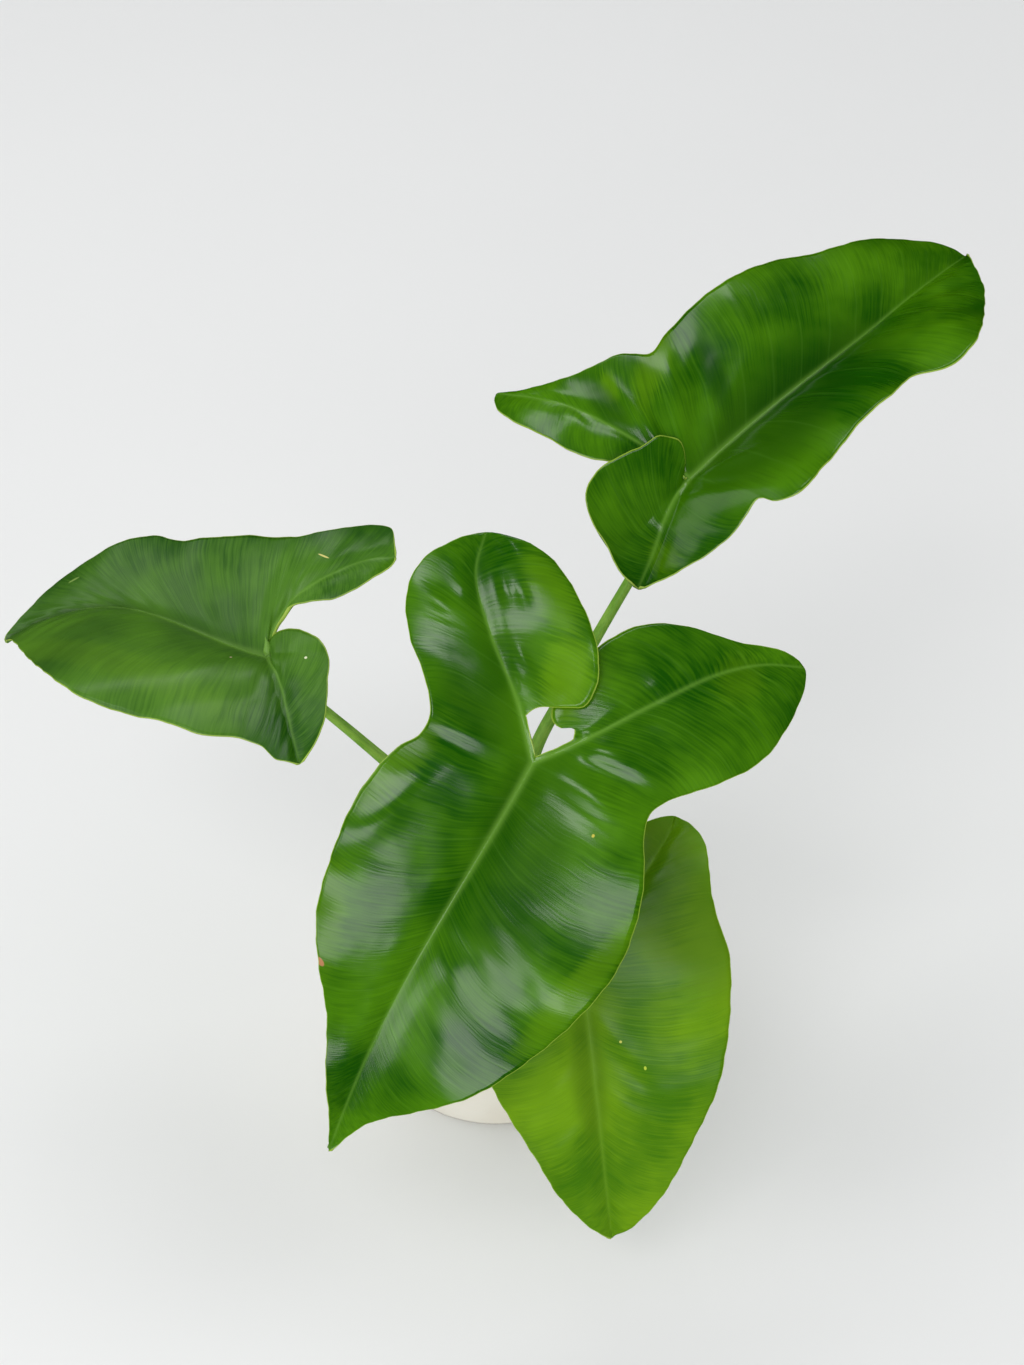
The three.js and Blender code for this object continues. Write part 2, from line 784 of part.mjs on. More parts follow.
// Slides the last ring's points along the stalk until they lie in the plane under the blade
function mitre(rings, tangent, seat) {
  const slope = tangent.dot(seat.normal);
  rings[rings.length - 1].forEach((point) => {
    const offset = seat.point.clone().sub(point).dot(seat.normal) / slope;
    point.addScaledVector(tangent, offset);
  });
}

// A closed body through rings of points, with a fan of triangles over each end
function loft(rings) {
  const sides = rings[0].length;
  const middle = (ring) => {
    return ring.reduce((sum, point) => sum.add(point), new THREE.Vector3()).divideScalar(sides);
  };
  const points = [...rings.flat(), middle(rings[0]), middle(rings[rings.length - 1])];
  const firstCentre = rings.length * sides;
  const faces = [];
  for (let j = 0; j < sides; j += 1) {
    const next = (j + 1) % sides;
    for (let i = 0; i + 1 < rings.length; i += 1) {
      const lower = i * sides;
      const upper = lower + sides;
      faces.push(lower + j, lower + next, upper + next, lower + j, upper + next, upper + j);
    }
    const lastRing = (rings.length - 1) * sides;
    faces.push(firstCentre, next, j, firstCentre + 1, lastRing + j, lastRing + next);
  }
  if (signedVolume(points, faces) < 0) {
    faces.reverse();
  }
  const geometry = new THREE.BufferGeometry();
  geometry.setAttribute('position', new THREE.Float32BufferAttribute(points.flatMap((p) => p.toArray()), 3));
  geometry.setIndex(faces);
  geometry.computeVertexNormals();
  return geometry;
}

function signedVolume(points, faces) {
  let volume = 0;
  for (let i = 0; i < faces.length; i += 3) {
    const [a, b, c] = [points[faces[i]], points[faces[i + 1]], points[faces[i + 2]]];
    volume += a.dot(new THREE.Vector3().crossVectors(b, c)) / 6;
  }
  return volume;
}

const plant = new THREE.Group();
plant.add(namedMesh('cover_pot', coverPot(), finish(COLOURS.coverPot, 0.35)));
plant.add(namedMesh('nursery_pot', nurseryPot(), finish(COLOURS.nurseryPot, 0.5)));
plant.add(namedMesh('potting_mix', pottingMix(), finish(COLOURS.pottingMix, 0.95)));
plant.add(namedMesh('stem', stem(), finish(COLOURS.stem, 0.6)));
LEAVES.forEach((leaf) => {
  plant.add(namedMesh(`stalk_${leaf.name}`, stalk(leaf), finish(COLOURS.stalk, 0.45)));
  plant.add(namedMesh(`blade_${leaf.name}`, blade(leaf), finish(leaf.colour, 0.3)));
});

export default plant;
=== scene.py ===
"""Looks of a young potted thaumatophyllum spruceanum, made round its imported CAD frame.

Everything is in metres in the frame's own axes, with +Z up and the largest leaf hanging over the
pot's front, towards -Y. Leaf outlines are written in millimetres, as the part's source writes them,
and MM turns them into metres. The stalks, blades, pots, potting mix and stem are finer meshes that
stand for the CAD nodes of the same places and sizes.
"""

import logging
import math
from dataclasses import dataclass, field
from enum import Enum
from functools import reduce
from typing import Callable, Sequence

import bpy
import numpy as np
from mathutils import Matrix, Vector


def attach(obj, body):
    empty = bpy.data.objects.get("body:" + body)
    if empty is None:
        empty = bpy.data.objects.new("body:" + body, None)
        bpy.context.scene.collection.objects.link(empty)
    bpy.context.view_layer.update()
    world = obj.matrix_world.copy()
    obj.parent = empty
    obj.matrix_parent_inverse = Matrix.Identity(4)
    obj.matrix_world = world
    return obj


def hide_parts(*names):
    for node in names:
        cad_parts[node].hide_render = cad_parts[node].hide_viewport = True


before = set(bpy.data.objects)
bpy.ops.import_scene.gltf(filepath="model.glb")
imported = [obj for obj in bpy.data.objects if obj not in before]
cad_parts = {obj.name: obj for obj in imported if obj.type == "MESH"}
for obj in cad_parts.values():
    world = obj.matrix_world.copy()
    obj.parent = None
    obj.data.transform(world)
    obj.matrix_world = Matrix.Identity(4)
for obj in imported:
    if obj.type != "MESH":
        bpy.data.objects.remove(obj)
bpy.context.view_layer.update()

MM = 0.001
BODY = "root"
SAME_PLACE = 1e-6
TINY = 1e-9
Point = tuple[float, float]
Place = tuple[float, float, float]
Colour = tuple[int, int, int]
Array = np.ndarray
Socket = bpy.types.NodeSocket
Material = bpy.types.Material
Piece = bpy.types.Object
log = logging.getLogger("thaumatophyllum")


def linear(colour: Colour) -> tuple[float, float, float, float]:
    """Turns a screen colour of 0 to 255 into the linear colour that a shader takes.

    Args:
        colour: Red, green and blue of 0 to 255.

    Returns:
        Red, green, blue and alpha of 0 to 1.
    """
    shares = [channel / 255 for channel in colour]
    levels = [c / 12.92 if c <= 0.04045 else ((c + 0.055) / 1.055) ** 2.4 for c in shares]
    return (*levels, 1.0)


def ease(x: Array) -> Array:
    """Steps smoothly from 0 below 0 to 1 above 1."""
    x = np.clip(x, 0.0, 1.0)
    return x * x * (3.0 - 2.0 * x)


class Graph:
    """Adds nodes to one node tree and links them. A value is a socket or a constant."""

    def __init__(self, tree: bpy.types.NodeTree) -> None:
        """Keeps the tree that nodes are added to."""
        self.tree = tree

    def feed(self, socket: Socket, value: object) -> None:
        """Links a socket into another, or sets its constant.

        Args:
            socket: An input socket.
            value: A socket or a constant.
        """
        if isinstance(value, Socket):
            self.tree.links.new(value, socket)
        else:
            socket.default_value = value

    def add(self, kind: str, inputs: dict | None = None, **settings: object) -> bpy.types.Node:
        """Adds a node.

        Args:
            kind: Blender's name for the node's type.
            inputs: Values for its input sockets, by name or number.
            settings: Values for the node's own properties.

        Returns:
            The new node.
        """
        node = self.tree.nodes.new(kind)
        node.location = (200 * (len(self.tree.nodes) % 12), -220 * (len(self.tree.nodes) // 12))
        for name, value in settings.items():
            setattr(node, name, value)
        for key, value in (inputs or {}).items():
            self.feed(node.inputs[key], value)
        return node

    def math(self, operation: str, *values: object) -> Socket:
        """Adds a Math node and returns its result."""
        return self.add("ShaderNodeMath", dict(enumerate(values)), operation=operation).outputs[0]

    def vector(self, operation: str, *values: object) -> Socket:
        """Adds a Vector Math node and returns its vector."""
        return self.add("ShaderNodeVectorMath", dict(enumerate(values)), operation=operation).outputs[0]

    def scaled(self, vector: object, scale: object) -> Socket:
        """Returns a vector multiplied by a number."""
        node = self.add("ShaderNodeVectorMath", {0: vector, "Scale": scale}, operation="SCALE")
        return node.outputs[0]

    def bell(self, distance: object, width: object) -> Socket:
        """Returns 1 at no distance, falling away as a bell curve of that width."""
        ratio = self.math("DIVIDE", distance, width)
        return self.math("EXPONENT", self.product(ratio, ratio, -1.0))

    def ramp(self, value: object, low: float, high: float) -> Socket:
        """Returns 0 to 1 as the value goes smoothly from low to high."""
        inputs = {"Value": value, "From Min": low, "From Max": high}
        return self.add("ShaderNodeMapRange", inputs, interpolation_type="SMOOTHSTEP").outputs[0]

    def noise(self, vector: object, scale: object, detail: float = 3.0) -> Socket:
        """Returns a noise value at a place."""
        inputs = {"Vector": vector, "Scale": scale, "Detail": detail}
        return self.add("ShaderNodeTexNoise", inputs).outputs[0]

    def mix(self, share: object, first: object, second: object) -> Socket:
        """Returns a colour between two by a share."""
        node = self.add("ShaderNodeMix", {0: share, 6: first, 7: second}, data_type="RGBA")
        return node.outputs[2]

    def stored(self, name: str) -> Socket:
        """Returns a vector that the mesh holds as a named attribute."""
        node = self.add("GeometryNodeInputNamedAttribute", {"Name": name}, data_type="FLOAT_VECTOR")
        return node.outputs[0]

    def coordinates(self) -> Socket:
        """Returns a shaded point's place in its object."""
        return self.add("ShaderNodeTexCoord").outputs["Object"]

    def product(self, *values: object) -> Socket:
        """Returns all the values multiplied together."""
        return reduce(lambda first, second: self.math("MULTIPLY", first, second), values)

    def separate(self, vector: object) -> Sequence[Socket]:
        """Returns the three parts of a vector."""
        return self.add("ShaderNodeSeparateXYZ", {0: vector}).outputs

    def random(self, low: float, high: float, seed: object) -> Socket:
        """Returns a random number for each element, from a fixed seed."""
        node = self.add("FunctionNodeRandomValue", {2: low, 3: high, "Seed": seed}, data_type="FLOAT")
        return node.outputs[1]


class NodeTool:
    """A Geometry Nodes tree with named inputs, applied to an object as a plain mesh."""

    def __init__(self, name: str, inputs: dict[str, object]) -> None:
        """Makes the tree and its sockets.

        Args:
            name: The tree's name.
            inputs: Each input's name and default, which is a number, a whole number or a material.
        """
        self.tree = bpy.data.node_groups.new(name, "GeometryNodeTree")
        self.tree.interface.new_socket("Geometry", in_out="INPUT", socket_type="NodeSocketGeometry")
        self.identifiers: dict[str, str] = {}
        for label, default in inputs.items():
            kind = "NodeSocketMaterial" if default is None else "NodeSocketFloat"
            kind = "NodeSocketInt" if isinstance(default, int) else kind
            item = self.tree.interface.new_socket(label, in_out="INPUT", socket_type=kind)
            if default is not None:
                item.default_value = default
            self.identifiers[label] = item.identifier
        self.tree.interface.new_socket("Geometry", in_out="OUTPUT", socket_type="NodeSocketGeometry")
        self.graph = Graph(self.tree)
        self.start = self.graph.add("NodeGroupInput")

    def given(self, label: str) -> Socket:
        """Returns the socket that carries one of the tree's inputs."""
        return self.start.outputs[label]

    def coated(self, geometry: Socket, label: str = "Material") -> Socket:
        """Returns the geometry with the material that one of the tree's inputs gives."""
        return self.graph.add("GeometryNodeSetMaterial", {0: geometry, 2: self.given(label)}).outputs[0]

    def finish(self, geometry: Socket) -> None:
        """Ends the tree with this geometry, realized."""
        real = self.graph.add("GeometryNodeRealizeInstances", {0: geometry}).outputs[0]
        self.graph.add("NodeGroupOutput", {0: real})

    def apply(self, piece: Piece, **values: object) -> Piece:
        """Runs the tree on a piece and keeps the result as the piece's plain mesh.

        Args:
            piece: A mesh object.
            values: The inputs' values, with underscores for the spaces in their names.

        Returns:
            The same object with its new mesh.
        """
        modifier = piece.modifiers.new(self.tree.name, "NODES")
        modifier.node_group = self.tree
        for label, value in values.items():
            modifier[self.identifiers[label.replace("_", " ")]] = value
        evaluated = piece.evaluated_get(bpy.context.evaluated_depsgraph_get())
        mesh = bpy.data.meshes.new_from_object(evaluated)
        piece.modifiers.remove(modifier)
        mesh.name = piece.name
        piece.data = mesh
        return piece


def smooth_shaded(mesh: bpy.types.Mesh) -> None:
    """Shades every face of a mesh smooth."""
    mesh.polygons.foreach_set("use_smooth", [True] * len(mesh.polygons))


def new_piece(name: str, points: Sequence, faces: Sequence, edges: Sequence = ()) -> Piece:
    """Makes a mesh object from points in metres and links it into the scene.

    Args:
        name: The object's name.
        points: Its vertices, in metres.
        faces: The vertex numbers of each face.
        edges: The vertex numbers of each loose edge.

    Returns:
        The new object.
    """
    mesh = bpy.data.meshes.new(name)
    corners = [tuple(map(float, point)) for point in points]
    mesh.from_pydata(corners, list(edges), [tuple(map(int, face)) for face in faces])
    piece = bpy.data.objects.new(name, mesh)
    bpy.context.scene.collection.objects.link(piece)
    return piece


def store(mesh: bpy.types.Mesh, name: str, values: Array) -> None:
    """Stores a number or a vector for each vertex as a named attribute.

    Args:
        mesh: The mesh that holds the values.
        name: The attribute's name.
        values: One number or one vector for each vertex.
    """
    values = np.asarray(values, dtype=np.float32)
    kind, key = ("FLOAT", "value") if values.ndim == 1 else ("FLOAT_VECTOR", "vector")
    mesh.attributes.new(name, kind, "POINT").data.foreach_set(key, values.ravel())


def settle(piece: Piece, slot: str, *nodes: str) -> None:
    """Puts a finished piece on the body and hides the CAD nodes it stands for.

    Args:
        piece: A finished piece.
        slot: The name of its slot. It is not used.
        nodes: The CAD nodes that it stands for.
    """
    smooth_shaded(piece.data)
    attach(piece, BODY)
    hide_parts(*nodes)
    log.info("%s: %d faces, stands for %s", piece.name, len(piece.data.polygons), ", ".join(nodes))


class SmoothCurve:
    """A centripetal Catmull-Rom curve through points, read by share of its length."""

    STEPS = 40

    def __init__(self, points: Sequence[Sequence[float]]) -> None:
        """Samples the curve between each pair of points.

        Args:
            points: The curve's control points, in two or three dimensions.
        """
        knots = np.asarray(points, dtype=float)
        padded = np.vstack([2 * knots[0] - knots[1], knots, 2 * knots[-1] - knots[-2]])
        share = np.arange(self.STEPS)[:, None] / self.STEPS
        runs = [self._run(padded[i : i + 4], share) for i in range(len(knots) - 1)]
        self.line = np.vstack([*runs, knots[-1:]])
        steps = np.linalg.norm(np.diff(self.line, axis=0), axis=1)
        self.lengths = np.concatenate([[0.0], np.cumsum(steps)])

    @staticmethod
    def _run(knots: Array, share: Array) -> Array:
        """Returns points between the second and third of four knots.

        Args:
            knots: Four control points.
            share: Shares of the way, as a column.

        Returns:
            A point for each share.
        """
        first, start, end, last = knots
        before = max(np.linalg.norm(start - first), TINY) ** 0.5
        within = max(np.linalg.norm(end - start), TINY) ** 0.5
        after = max(np.linalg.norm(last - end), TINY) ** 0.5
        leave = (start - first) / before - (end - first) / (before + within) + (end - start) / within
        arrive = (end - start) / within - (last - start) / (within + after) + (last - end) / after
        leave, arrive = leave * within, arrive * within
        square = -3 * start + 3 * end - 2 * leave - arrive
        cube = 2 * start - 2 * end + leave + arrive
        return start + leave * share + square * share**2 + cube * share**3

    @property
    def length(self) -> float:
        """The curve's whole length."""
        return float(self.lengths[-1])

    def knot(self, index: int) -> float:
        """Returns the share of the length at which a control point lies."""
        return self.lengths[self.STEPS * index] / self.length

    def at(self, share: Array) -> Array:
        """Returns points at shares of the length."""
        distance = np.clip(share, 0, 1) * self.length
        return np.stack([np.interp(distance, self.lengths, column) for column in self.line.T], axis=-1)

    def tangent(self, share: Array) -> Array:
        """Returns unit directions at shares of the length.

        Args:
            share: Shares of the curve's length.

        Returns:
            A unit vector for each share.
        """
        reach = 0.002
        way = self.at(np.clip(share + reach, 0, 1)) - self.at(np.clip(share - reach, 0, 1))
        return way / np.linalg.norm(way, axis=-1, keepdims=True)


class Growth(Enum):
    """How far a leaf has grown, by the name of its slot."""

    GROWN = "blade"
    YOUNG = "young_blade"


class Flank(Enum):
    """The three sheets on each side of a leaf, with their cells along and across."""

    ANTERIOR = (132, 40)
    OUTER = (60, 40)
    INNER = (60, 28)


@dataclass(frozen=True)
class Wave:
    """How a margin waves: height and length in millimetres, phase in degrees."""

    height: float
    length: float
    phase: float


@dataclass(frozen=True)
class Half:
    """One side of a leaf. Points are [along, outward] in millimetres in the leaf's plane."""

    waist: Point
    blade: tuple[Point, ...]
    outer: tuple[Point, ...]
    lobe_tip: Point
    inner: tuple[Point, ...]
    rib: tuple[Point, ...]
    naked: float
    lobe_angle: float
    lobe_length: float
    lobe_rise: float
    inner_rise: float
    wave: Wave


@dataclass(frozen=True)
class Swell:
    """A local hollow or bulge: its centre, half lengths, turn in degrees and height, in millimetres."""

    along: float
    across: float
    length: float
    width: float
    turn: float
    height: float

    def rise(self, along: Array, across: Array) -> Array:
        """Returns the swell's height at places in the leaf's plane.

        Args:
            along: Places along the leaf, in millimetres.
            across: Places across the leaf, in millimetres.

        Returns:
            Heights in millimetres.
        """
        cosine, sine = math.cos(math.radians(self.turn)), math.sin(math.radians(self.turn))
        forward = (along - self.along) * cosine + (across - self.across) * sine
        sideways = -(along - self.along) * sine + (across - self.across) * cosine
        return self.height * np.exp(-((forward / self.length) ** 2) - (sideways / self.width) ** 2)


@dataclass(frozen=True)
class Leaf:
    """A leaf in its own frame: along the midrib, across to its left, and off its plane.

    Lengths are in millimetres and angles in degrees.
    """

    FADE_START = 0.55
    FOLD_FADE = 0.6
    CURL_START = 0.8
    BEND_POWER = 1.5
    LOBE_ONSET = 0.5
    INNER_ONSET = 4.0

    name: str
    junction: Place
    heading: float
    pitch: float
    roll: float
    tip: float
    midrib_bend: float
    arch: float
    fold: float
    fold_width: float
    tip_curl: float
    left: Half
    right: Half
    stalk_base: float
    stalk_route: tuple[Place, ...]
    growth: Growth = Growth.GROWN
    pleat_height: float = 0.3
    dulling: float = 0.0
    vein_sweep: float = 0.32
    blister_height: float = 1.1
    swells: tuple[Swell, ...] = ()

    def half(self, side: int) -> Half:
        """Returns the left half for side 1 and the right half for side -1."""
        return self.left if side > 0 else self.right

    def axes(self) -> Array:
        """Returns the leaf's along, across and normal directions as rows.

        Returns:
            Three rows of three numbers.
        """
        heading, pitch, roll = (math.radians(angle) for angle in (self.heading, self.pitch, self.roll))
        forward = np.array([math.cos(heading), math.sin(heading), 0.0])
        level = np.array([-math.sin(heading), math.cos(heading), 0.0])
        along = forward * math.cos(pitch) + (0.0, 0.0, math.sin(pitch))
        normal = np.cross(along, level) * math.cos(roll) - level * math.sin(roll)
        return np.array([along, np.cross(normal, along), normal])

    def place(self, points: Array) -> Array:
        """Takes points from the leaf's frame in millimetres to the shared frame in metres."""
        return (np.asarray(self.junction) + points @ self.axes()) * MM

    def midrib_across(self, along: Array) -> Array:
        """Returns how far the midrib lies across at places along the leaf."""
        reach = np.clip(along / self.tip, 0.0, 1.0)
        return self.midrib_bend * np.sin(math.pi * reach**self.BEND_POWER)

    def height(self, side: int, along: Array, across: Array) -> Array:
        """Returns the blade's height off its plane, before ribs, pleats and waves.

        Args:
            side: 1 for the left half, -1 for the right.
            along: Places along the leaf, in millimetres.
            across: Places across the leaf, in millimetres.

        Returns:
            Heights in millimetres.
        """
        half = self.half(side)
        reach = along / self.tip
        outward = np.maximum(0.0, side * (across - self.midrib_across(along)))
        arch = 4 * self.arch * reach * (1 - reach)
        flattening = 1 - self.FOLD_FADE * ease((reach - self.FADE_START) / (1 - self.FADE_START))
        fold = self.fold * flattening * (outward - outward**2 / (2 * self.fold_width))
        drop = self.tip_curl * (np.maximum(0.0, reach - self.CURL_START) / (1 - self.CURL_START)) ** 2
        cosine, sine = math.cos(math.radians(half.lobe_angle)), math.sin(math.radians(half.lobe_angle))
        along_lobe = (along * cosine + side * across * sine) / half.lobe_length
        inward = np.maximum(0.0, -along * sine + side * across * cosine)
        lobe = half.lobe_rise * along_lobe * ease(along_lobe / self.LOBE_ONSET)
        inner = half.inner_rise * inward * ease(np.hypot(along, across) / self.INNER_ONSET)
        swell = sum(swell.rise(along, across) for swell in self.swells)
        return arch + fold - drop + lobe + inner + swell


@dataclass
class LeafSheet:
    """The upper surface of a leaf as flanks of cells between each rib and the margin."""

    NAKED_HALF_WIDTH = 1.5
    SINUS_DEPTH = 2.2
    COLUMN_POWER = 1.35
    VEIN_BOW = 0.12
    BOW_ONSET = 0.2
    RIB_GROOVE = 1.2
    GROOVE_HALF_WIDTH = 5.0
    RIB_HALF_WIDTH = 2.2
    RIB_FADE = 0.7
    LINE_HALF_WIDTH = 1.4
    LINE_FADE = 0.6
    WAVE_ONSET = 30.0
    INNER_SPREAD = 1.3
    # Each ripple's height and length in millimetres and its phase in radians.
    RIPPLES = ((0.14, 11.3, 0.4), (0.05, 5.1, 1.9))
    RIPPLE_ONSET = 0.12
    MAIN_VEINS = 11
    LOBE_VEINS = 5
    MIDRIB_KNOTS = 9
    KEY_SCALE = 1e4

    leaf: Leaf
    vertices: list[Array] = field(default_factory=list)
    veins: list[tuple[float, float, float]] = field(default_factory=list)
    rib_lines: list[float] = field(default_factory=list)
    places: list[tuple[float, float, float]] = field(default_factory=list)
    faces: list[tuple[int, ...]] = field(default_factory=list)
    lookup: dict[tuple, int] = field(default_factory=dict)

    def build(self) -> Piece:
        """Makes both halves and returns the sheet as a mesh object in the shared frame.

        Returns:
            The sheet, which has no thickness yet.
        """
        knots = [[a, self.leaf.midrib_across(a)] for a in np.linspace(0, self.leaf.tip, self.MIDRIB_KNOTS)]
        midrib = SmoothCurve(knots)
        for side in (1, -1):
            self._add_half(side, midrib)
        points = self.leaf.place(np.array(self.vertices))
        piece = new_piece(f"blade_{self.leaf.name}_dressed", points, self.faces)
        store(piece.data, "vein", np.array(self.veins))
        store(piece.data, "place", np.array(self.places))
        store(piece.data, "rib", np.array(self.rib_lines))
        return piece

    def _add_half(self, side: int, midrib: SmoothCurve) -> None:
        """Adds the three flanks of one side.

        Args:
            side: 1 for the left half, -1 for the right.
            midrib: The midrib's curve in the leaf's plane.
        """
        half = self.leaf.half(side)
        rib = SmoothCurve([(0, 0), *self._flip(half.rib, side), *self._flip([half.lobe_tip], side)])
        knots = [
            (self.leaf.tip, 0.0),
            *self._flip(half.blade, side)[::-1],
            *self._flip([half.waist, *half.outer, half.lobe_tip, *half.inner], side),
            self._beside(rib, half.naked, side),
        ]
        margin = SmoothCurve(knots)
        waist = len(half.blade) + 1
        lobe = waist + len(half.outer) + 1

        def span(first: int, last: int, share: Array) -> Array:
            """Returns places on the margin between two of its knots."""
            start, end = margin.knot(first), margin.knot(last)
            return margin.at(start + (end - start) * share)

        def inner_edge(share: Array) -> Array:
            """Returns places on the lobe's inner margin, with the naked rib's edge first.

            Args:
                share: Shares of the rib's length.

            Returns:
                A place for each share.
            """
            beyond = np.clip((share - half.naked) / (1 - half.naked), 0, 1) ** self.INNER_SPREAD
            edge = span(len(knots) - 1, lobe, beyond)
            naked = share <= half.naked
            edge[naked] = self._beside(rib, share[naked], side)
            edge[0] = self._sinus()
            return edge

        def swept(share: Array) -> Array:
            """Returns places on the blade's margin, ahead of the veins' feet on the midrib."""
            return span(waist, 0, share + self.leaf.vein_sweep * share * (1 - share))

        self._add_flank(Flank.ANTERIOR, side, midrib, swept)
        self._add_flank(Flank.OUTER, side, rib, lambda share: span(waist, lobe, share))
        self._add_flank(Flank.INNER, side, rib, inner_edge)

    @staticmethod
    def _flip(points: Sequence[Point], side: int) -> list[Point]:
        """Returns outline points on their own side of the leaf."""
        return [(along, side * outward) for along, outward in points]

    def _beside(self, rib: SmoothCurve, share: float | Array, side: int) -> Array:
        """Returns places on a naked rib's inner edge.

        Args:
            rib: The lobe's rib.
            share: Shares of the rib's length.
            side: 1 for the left half, -1 for the right.

        Returns:
            A place for each share.
        """
        way = rib.tangent(np.asarray(share))
        inward = np.stack([-side * way[..., 1], side * way[..., 0]], axis=-1)
        return rib.at(np.asarray(share)) + inward * self.NAKED_HALF_WIDTH

    def _sinus(self) -> Array:
        """Returns the head of the gap between the two lobes.

        Returns:
            A place in the leaf's plane, in millimetres.
        """
        left, right = (np.array(self._flip([self.leaf.half(side).rib[0]], side)[0]) for side in (1, -1))
        way = left / np.linalg.norm(left) + right / np.linalg.norm(right)
        return way / np.linalg.norm(way) * self.SINUS_DEPTH

    def _add_flank(self, kind: Flank, side: int, rib: SmoothCurve, margin: Callable[[Array], Array]) -> None:
        """Adds one flank's cells, whose rows run from the rib to the margin as the side veins do.

        Args:
            kind: Which of the three flanks it is.
            side: 1 for the left half, -1 for the right.
            rib: The rib where its rows start.
            margin: Gives the places on the margin where its rows end, by share.
        """
        rows, columns = kind.value
        s = np.arange(rows + 1) / rows
        t = (np.arange(columns + 1) / columns) ** self.COLUMN_POWER
        foot, end = rib.at(s), margin(s)
        span = np.linalg.norm(end - foot, axis=1)
        end = end + self._ripple(end, foot, s)
        bow = rib.tangent(s) * (self.VEIN_BOW * span * ease(s / self.BOW_ONSET))[:, None]
        plan = self._plan(foot, end, bow, t)
        along, across = plan[..., 0], plan[..., 1]
        from_rib = t[None, :] * span[:, None]
        groove = self.RIB_GROOVE * np.exp(-((from_rib / self.GROOVE_HALF_WIDTH) ** 2))
        waving = self._waving(side, along, across) * t[None, :] ** 2
        height = self.leaf.height(side, along, across) - groove + waving
        rib_mask = np.exp(-((from_rib / self.RIB_HALF_WIDTH) ** 2)) * (1 - self.RIB_FADE * s[:, None])
        line_width = self.LINE_HALF_WIDTH * (1 - self.LINE_FADE * s[:, None])
        rib_line = np.exp(-((from_rib / line_width) ** 2)) * (1 - self.LINE_FADE * s[:, None])
        count = self.MAIN_VEINS if kind is Flank.ANTERIOR else self.LOBE_VEINS
        grid = np.empty(plan.shape[:2], dtype=int)
        for i, j in np.ndindex(*grid.shape):
            on_midrib = kind is Flank.ANTERIOR and (j == 0 or i == rows)
            on_sinus = i == 0 and (j == 0 or kind is Flank.INNER)
            owner = 0 if on_midrib or on_sinus else side
            key = (owner, round(along[i, j] * self.KEY_SCALE), round(across[i, j] * self.KEY_SCALE))
            if key not in self.lookup:
                self.lookup[key] = len(self.vertices)
                self.vertices.append(np.array([along[i, j], across[i, j], height[i, j]]))
                self.veins.append((count * s[i], t[j], rib_mask[i, j]))
                self.rib_lines.append(rib_line[i, j])
                self.places.append((along[i, j], across[i, j], (1 - t[j]) * span[i]))
            grid[i, j] = self.lookup[key]
        self._add_cells(grid)

    @staticmethod
    def _plan(foot: Array, end: Array, bow: Array, t: Array) -> Array:
        """Returns a flank's vertices in the leaf's plane, on rows that bow as the side veins do.

        Args:
            foot: Where the rows start.
            end: Where the rows end.
            bow: How far each row's middle is pushed along the rib.
            t: Shares of the way along each row.

        Returns:
            A place for each row and column.
        """
        across_cell = t[None, :, None]
        plan = foot[:, None] + (end - foot)[:, None] * across_cell
        return plan + bow[:, None] * 4 * across_cell * (1 - across_cell)

    def _waving(self, side: int, along: Array, across: Array) -> Array:
        """Returns how far the margin's wave lifts each place, before it fades towards the rib.

        Args:
            side: 1 for the left half, -1 for the right.
            along: Places along the leaf, in millimetres.
            across: Places across the leaf, in millimetres.

        Returns:
            Heights in millimetres.
        """
        wave = self.leaf.half(side).wave
        phase = 2 * math.pi * along / wave.length + math.radians(wave.phase)
        onset = ease(np.hypot(along, across) / self.WAVE_ONSET)
        return wave.height * np.sin(phase) * onset

    def _ripple(self, end: Array, foot: Array, share: Array) -> Array:
        """Returns small outward shifts that roughen the margin between the flanks' corners.

        Args:
            end: Where the rows end.
            foot: Where the rows start.
            share: Each row's share of the rib's length.

        Returns:
            A shift for each row's end, in millimetres.
        """
        outward = end - foot
        outward = outward / np.maximum(np.linalg.norm(outward, axis=1, keepdims=True), TINY)
        distance = np.concatenate([[0.0], np.cumsum(np.linalg.norm(np.diff(end, axis=0), axis=1))])
        ripple = sum(h * np.sin(2 * math.pi * distance / length + p) for h, length, p in self.RIPPLES)
        within = ease(share / self.RIPPLE_ONSET) * ease((1 - share) / self.RIPPLE_ONSET)
        return outward * (ripple * within)[:, None]

    def _add_cells(self, grid: Array) -> None:
        """Adds a grid of vertex numbers as faces that look upwards.

        Args:
            grid: Vertex numbers in rows and columns.
        """
        cells = []
        for i, j in np.ndindex(grid.shape[0] - 1, grid.shape[1] - 1):
            corners = (grid[i, j], grid[i + 1, j], grid[i + 1, j + 1], grid[i, j + 1])
            kept = tuple(dict.fromkeys(int(corner) for corner in corners))
            if len(kept) > 2:
                cells.append(kept)
        area = sum(self._plane_area(cell) for cell in cells)
        self.faces.extend(cell if area > 0 else cell[::-1] for cell in cells)

    def _plane_area(self, cell: tuple[int, ...]) -> float:
        """Returns twice a cell's area in the leaf's plane, above zero if it looks upwards.

        Args:
            cell: The vertex numbers of one face.

        Returns:
            Twice the area, in square millimetres.
        """
        corners = [self.vertices[number] for number in cell]
        following = corners[1:] + corners[:1]
        return sum(p[0] * q[1] - q[0] * p[1] for p, q in zip(corners, following))


